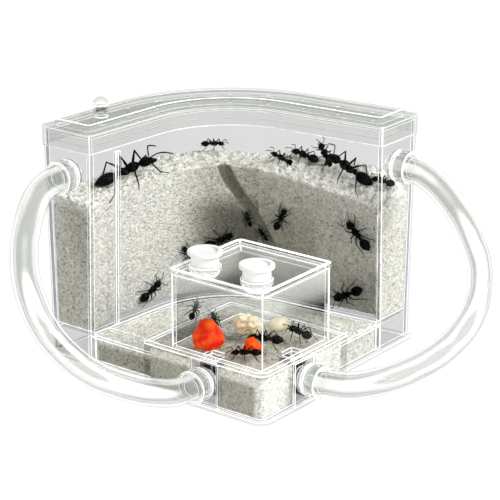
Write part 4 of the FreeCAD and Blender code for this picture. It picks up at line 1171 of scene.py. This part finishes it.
def gather_ants(name, group, thinnest):
    """One mesh of all ants of a group; each entry holds the ant's stance, girth, length and placement."""
    shape = bmesh.new()
    for stance, girth, length, placement in group:
        stout = max(1.0, thinnest / (THINNEST_SHARE * length * MM))
        pattern = ant_shape(stance, stout, girth)
        first = len(shape.verts)
        shape.from_mesh(pattern)
        shape.verts.ensure_lookup_table()
        bmesh.ops.transform(shape, matrix=placement, verts=shape.verts[first:])
        bpy.data.meshes.remove(pattern)
    return finished_mesh(shape, name, 50)


class HABITAT_OT_ants(bpy.types.Operator):
    """Put the ants in the nest and in the feeding box"""

    bl_idname = "habitat.ants"
    bl_label = "Ants"

    def execute(self, context):
        """Make both groups of ants."""
        settings = context.scene.habitat_ant
        cuticle = known_material("ant_cuticle", ant_cuticle, settings.shell[:], settings.joint[:])
        nest = [(TALL_STANCE, ant[-1], ant[-2], ground_placement(*ant[:-1])) for ant in GROUND_ANTS]
        nest += [(FLAT_STANCE, 1.0, ant[-1], face_placement(*ant)) for ant in FACE_ANTS]
        feeding = [(TALL_STANCE, 1.0, ant[-1], ground_placement(*ant)) for ant in FEEDING_ANTS]
        feeding.append((FLAT_STANCE, 1.0, PANE_ANT[-1], pane_placement(*PANE_ANT)))
        for node, group in (("nest_ants", nest), ("feeding_ants", feeding)):
            piece = new_piece(node + "_shells", gather_ants(node, group, settings.thinnest))
            piece.data.materials.append(cuticle)
            hand_over(piece, "ant_shell", node)
        return {"FINISHED"}


# ---------------------------------------------------------------- food and plugs
# Each piece of food: its slot, the octaves of its lumps, their size and height, and its edges' radius.
FOOD = {
    "carrot_large": ("carrot", 3, 4.0, 0.6, 0.25),
    "carrot_small": ("carrot", 3, 3.5, 0.8, 0.8),
    "walnut_kernel": ("walnut", 3, 2.6, 1.6, 0.6),
    "seed_kernel": ("seed", 1, 6.0, 0.4, 0.6),
}


def carrot_flesh(name, flesh, core):
    """Raw carrot, cut with a knife: moist and shiny, redder at its core, with pale fibres."""
    material, tree, place = new_material(name)
    patches = mottled(tree, place, 5, 4.0, (0.4, 0.62), (0.0, 1.0))
    mixed = {"Factor": patches, FIRST: core, SECOND: flesh}
    colour = add_node(tree, "ShaderNodeMix", mixed, data_type="RGBA")
    fibre = add_node(tree, "ShaderNodeTexNoise", {"Vector": place, "Scale": per_mm(0.8), "Detail": 5.0})
    return finished(material, {
        "Base Color": colour.outputs[MIXED],
        "Roughness": 0.34,
        "Specular IOR Level": 0.12,
        "Subsurface Weight": 0.1,
        "Subsurface Radius": (4.0 * MM, 0.8 * MM, 0.2 * MM),
        "Subsurface Scale": 0.4,
        "Normal": add_node(tree, "ShaderNodeBump", {"Height": fibre, "Strength": 0.7, "Distance": 0.5 * MM}),
    })


def kernel_flesh(name, colour, wrinkle_mm, roughness):
    """Dry kernel without its skin: pale cream, with painted shade in its folds."""
    material, tree, place = new_material(name)
    wrinkles = {"Vector": place, "Scale": per_mm(wrinkle_mm), "Detail": 4.0}
    folds = add_node(tree, "ShaderNodeTexNoise", wrinkles)
    # Painted shade: darker where the fold pattern is low, in the dents of the bump.
    shades = {"Value": folds, "From Min": 0.3, "From Max": 0.6, "To Min": 0.72}
    shade = {0: colour[:3], 1: add_node(tree, "ShaderNodeMapRange", shades)}
    return finished(material, {
        "Base Color": add_node(tree, "ShaderNodeVectorMath", shade, operation="MULTIPLY"),
        "Roughness": roughness,
        "Normal": add_node(tree, "ShaderNodeBump", {"Height": folds, "Strength": 0.6, "Distance": 0.4 * MM}),
    })


def moulded_white(name, colour):
    """Injection-moulded polythene: soft white with a satin skin."""
    material, tree, place = new_material(name)
    return finished(material, {
        "Base Color": colour,
        "Roughness": mottled(tree, place, 1.6, 3.0, (0.3, 0.7), (0.34, 0.46)),
        "Subsurface Weight": 0.3,
        "Subsurface Radius": (2.0 * MM, 2.0 * MM, 2.0 * MM),
    })


def lumpy_copy(node, octaves, lump_mm, height_mm, radius_mm):
    """A node's shape with soft edges and an uneven skin."""
    piece = merged_copy(node, node + "_cut")
    add_modifier(piece, "edges", "BEVEL", width=radius_mm * MM, segments=3, limit_method="ANGLE")
    add_modifier(piece, "skin", "REMESH", mode="VOXEL", voxel_size=0.45 * MM)
    bake_modifiers(piece)
    low = min(vertex.co.z for vertex in piece.data.vertices)
    normals = [vertex.normal.copy() for vertex in piece.data.vertices]
    for vertex, normal in zip(piece.data.vertices, normals):
        place = vertex.co / MM
        waves = [noise.noise(place / (lump_mm / 2 ** octave)) / 2 ** octave for octave in range(octaves)]
        held = smooth_step(0.0, 1.0, (vertex.co.z - low) / MM)
        vertex.co += normal * (sum(waves) * height_mm * MM * held)
    piece.data.shade_smooth()
    return piece


class HABITAT_OT_food(bpy.types.Operator):
    """Lay out the carrot, the walnut and the seed"""

    bl_idname = "habitat.food"
    bl_label = "Food"

    def execute(self, context):
        """Make the four pieces of food."""
        settings = context.scene.habitat_food
        carrots = [settings.carrot[:], settings.carrot_core[:]]
        flesh = {
            "carrot": known_material("carrot_cut", carrot_flesh, *carrots),
            "walnut": known_material("walnut_kernel_dry", kernel_flesh, settings.walnut[:], 1.8, 0.6),
            "seed": known_material("seed_kernel_dry", kernel_flesh, settings.seed[:], 5.0, 0.45),
        }
        for node, (slot, *lumps) in FOOD.items():
            piece = lumpy_copy(node, *lumps)
            piece.data.materials.clear()
            piece.data.materials.append(flesh[slot])
            hand_over(piece, slot, node)
        return {"FINISHED"}


class HABITAT_OT_plugs(bpy.types.Operator):
    """Put the white plugs in the filling ports"""

    bl_idname = "habitat.plugs"
    bl_label = "Plugs"

    def execute(self, context):
        """Make both plugs."""
        white = known_material("polythene_moulded", moulded_white, context.scene.habitat_food.plug[:])
        for node in ("plug_left", "plug_right"):
            piece = merged_copy(node, node + "_white")
            piece.data.materials.append(white)
            round_off(piece, 0.5 * MM, 3)
            hand_over(piece, "white_plastic", node)
        return {"FINISHED"}


# ---------------------------------------------------------------- studio
# Each lamp's place and width, in metres.
LAMPS = {"key": (Vector((0.78, 0.14, 0.72)), 0.6), "front": (Vector((0.1, -0.85, 0.42)), 0.1)}
FLOOR_HALF_WIDTH = 4.0


class HABITAT_OT_camera(bpy.types.Operator):
    """Set up the camera"""

    bl_idname = "habitat.camera"
    bl_label = "Camera"

    def execute(self, context):
        """Place the camera round its target."""
        settings = context.scene.habitat_studio
        azimuth = math.radians(settings.azimuth)
        elevation = math.radians(settings.elevation)
        roll = math.radians(settings.roll)
        outward = Vector((math.sin(azimuth), -math.cos(azimuth), 0))
        back = outward * math.cos(elevation) + Vector((0, 0, math.sin(elevation)))
        right = Vector((math.cos(azimuth), math.sin(azimuth), 0))
        upward = back.cross(right)
        rolled_right = right * math.cos(roll) + upward * math.sin(roll)
        rolled_up = upward * math.cos(roll) - right * math.sin(roll)
        turn = Matrix((rolled_right, rolled_up, back)).transposed().to_4x4()
        lens = bpy.data.cameras.new("camera")
        lens.lens = settings.lens
        lens.sensor_width = 36.0
        lens.clip_start = 0.01
        camera = bpy.data.objects.new("camera", lens)
        camera.matrix_world = Matrix.Translation(Vector(settings.target) + back * settings.distance) @ turn
        context.scene.collection.objects.link(camera)
        context.scene.camera = camera
        return {"FINISHED"}


def studio_floor(name, colour):
    """Opal board of a light table: evenly bright, so that next to no shadow is seen on it."""
    material, tree, place = new_material(name)
    return finished(material, {
        "Base Color": colour,
        "Roughness": mottled(tree, place, 60, 2.0, (0.3, 0.7), (0.85, 1.0)),
        "Specular IOR Level": 0.0,
        "Emission Color": (1.0, 1.0, 1.0, 1.0),
        "Emission Strength": 0.94,
    })


class HABITAT_OT_stage(bpy.types.Operator):
    """Set up the floor, the sky and the lamps"""

    bl_idname = "habitat.stage"
    bl_label = "Stage"

    def execute(self, context):
        """Make a pale floor under soft light."""
        settings = context.scene.habitat_studio
        shape = bmesh.new()
        bmesh.ops.create_grid(shape, x_segments=8, y_segments=8, size=FLOOR_HALF_WIDTH)
        mesh = bpy.data.meshes.new("floor")
        shape.to_mesh(mesh)
        shape.free()
        mesh.materials.append(known_material("studio_board", studio_floor, settings.floor[:]))
        new_piece("floor", mesh)
        world = bpy.data.worlds.new("studio")
        world.use_nodes = True
        world.node_tree.nodes.clear()
        light = {"Color": (1, 1, 1, 1), "Strength": settings.sky}
        sky = add_node(world.node_tree, "ShaderNodeBackground", light)
        add_node(world.node_tree, "ShaderNodeOutputWorld", {"Surface": sky})
        context.scene.world = world
        for name, (place, size) in LAMPS.items():
            light = bpy.data.lights.new(name, "AREA")
            light.shape = "SQUARE"
            light.size = size
            light.energy = getattr(settings, name)
            lamp = bpy.data.objects.new(name, light)
            lamp.location = place
            lamp.rotation_euler = (Vector(settings.target) - place).to_track_quat("-Z", "Y").to_euler()
            context.scene.collection.objects.link(lamp)
        context.scene.view_settings.view_transform = "Standard"
        return {"FINISHED"}


# ---------------------------------------------------------------- panel and registration
class HABITAT_PT_panel(bpy.types.Panel):
    """Lists the settings and the steps"""

    bl_idname = "HABITAT_PT_panel"
    bl_label = "Ant Habitat"
    bl_space_type = "VIEW_3D"
    bl_region_type = "UI"
    bl_category = "Ant Habitat"

    def draw(self, context):
        """Draw each group of settings, then the steps."""
        for name, group in SETTINGS.items():
            box = self.layout.box()
            box.label(text=group.__doc__)
            for key in group.__annotations__:
                box.prop(getattr(context.scene, name), key)
        for step in STEPS:
            self.layout.operator(step.bl_idname)


SETTINGS = {
    "habitat_sheet": SheetSettings,
    "habitat_hose": HoseSettings,
    "habitat_sand": SandSettings,
    "habitat_ant": AntSettings,
    "habitat_food": FoodSettings,
    "habitat_studio": StudioSettings,
}
STEPS = [
    HABITAT_OT_camera,
    HABITAT_OT_hoses,
    HABITAT_OT_nest,
    HABITAT_OT_nest_lid,
    HABITAT_OT_module,
    HABITAT_OT_feeding_box,
    HABITAT_OT_sockets,
    HABITAT_OT_sand,
    HABITAT_OT_ants,
    HABITAT_OT_food,
    HABITAT_OT_plugs,
    HABITAT_OT_stage,
]


def register():
    """Register the settings, the operators and the panel."""
    for name, group in SETTINGS.items():
        bpy.utils.register_class(group)
        setattr(bpy.types.Scene, name, bpy.props.PointerProperty(type=group))
    for step in STEPS + [HABITAT_PT_panel]:
        bpy.utils.register_class(step)


def unregister():
    """Take back what register did."""
    for step in [HABITAT_PT_panel] + STEPS[::-1]:
        bpy.utils.unregister_class(step)
    for name, group in SETTINGS.items():
        delattr(bpy.types.Scene, name)
        bpy.utils.unregister_class(group)


def main():
    """Register, then run every step in order."""
    register()
    for step in STEPS:
        family, name = step.bl_idname.split(".")
        getattr(getattr(bpy.ops, family), name)()


if __name__ == "__main__":
    main()
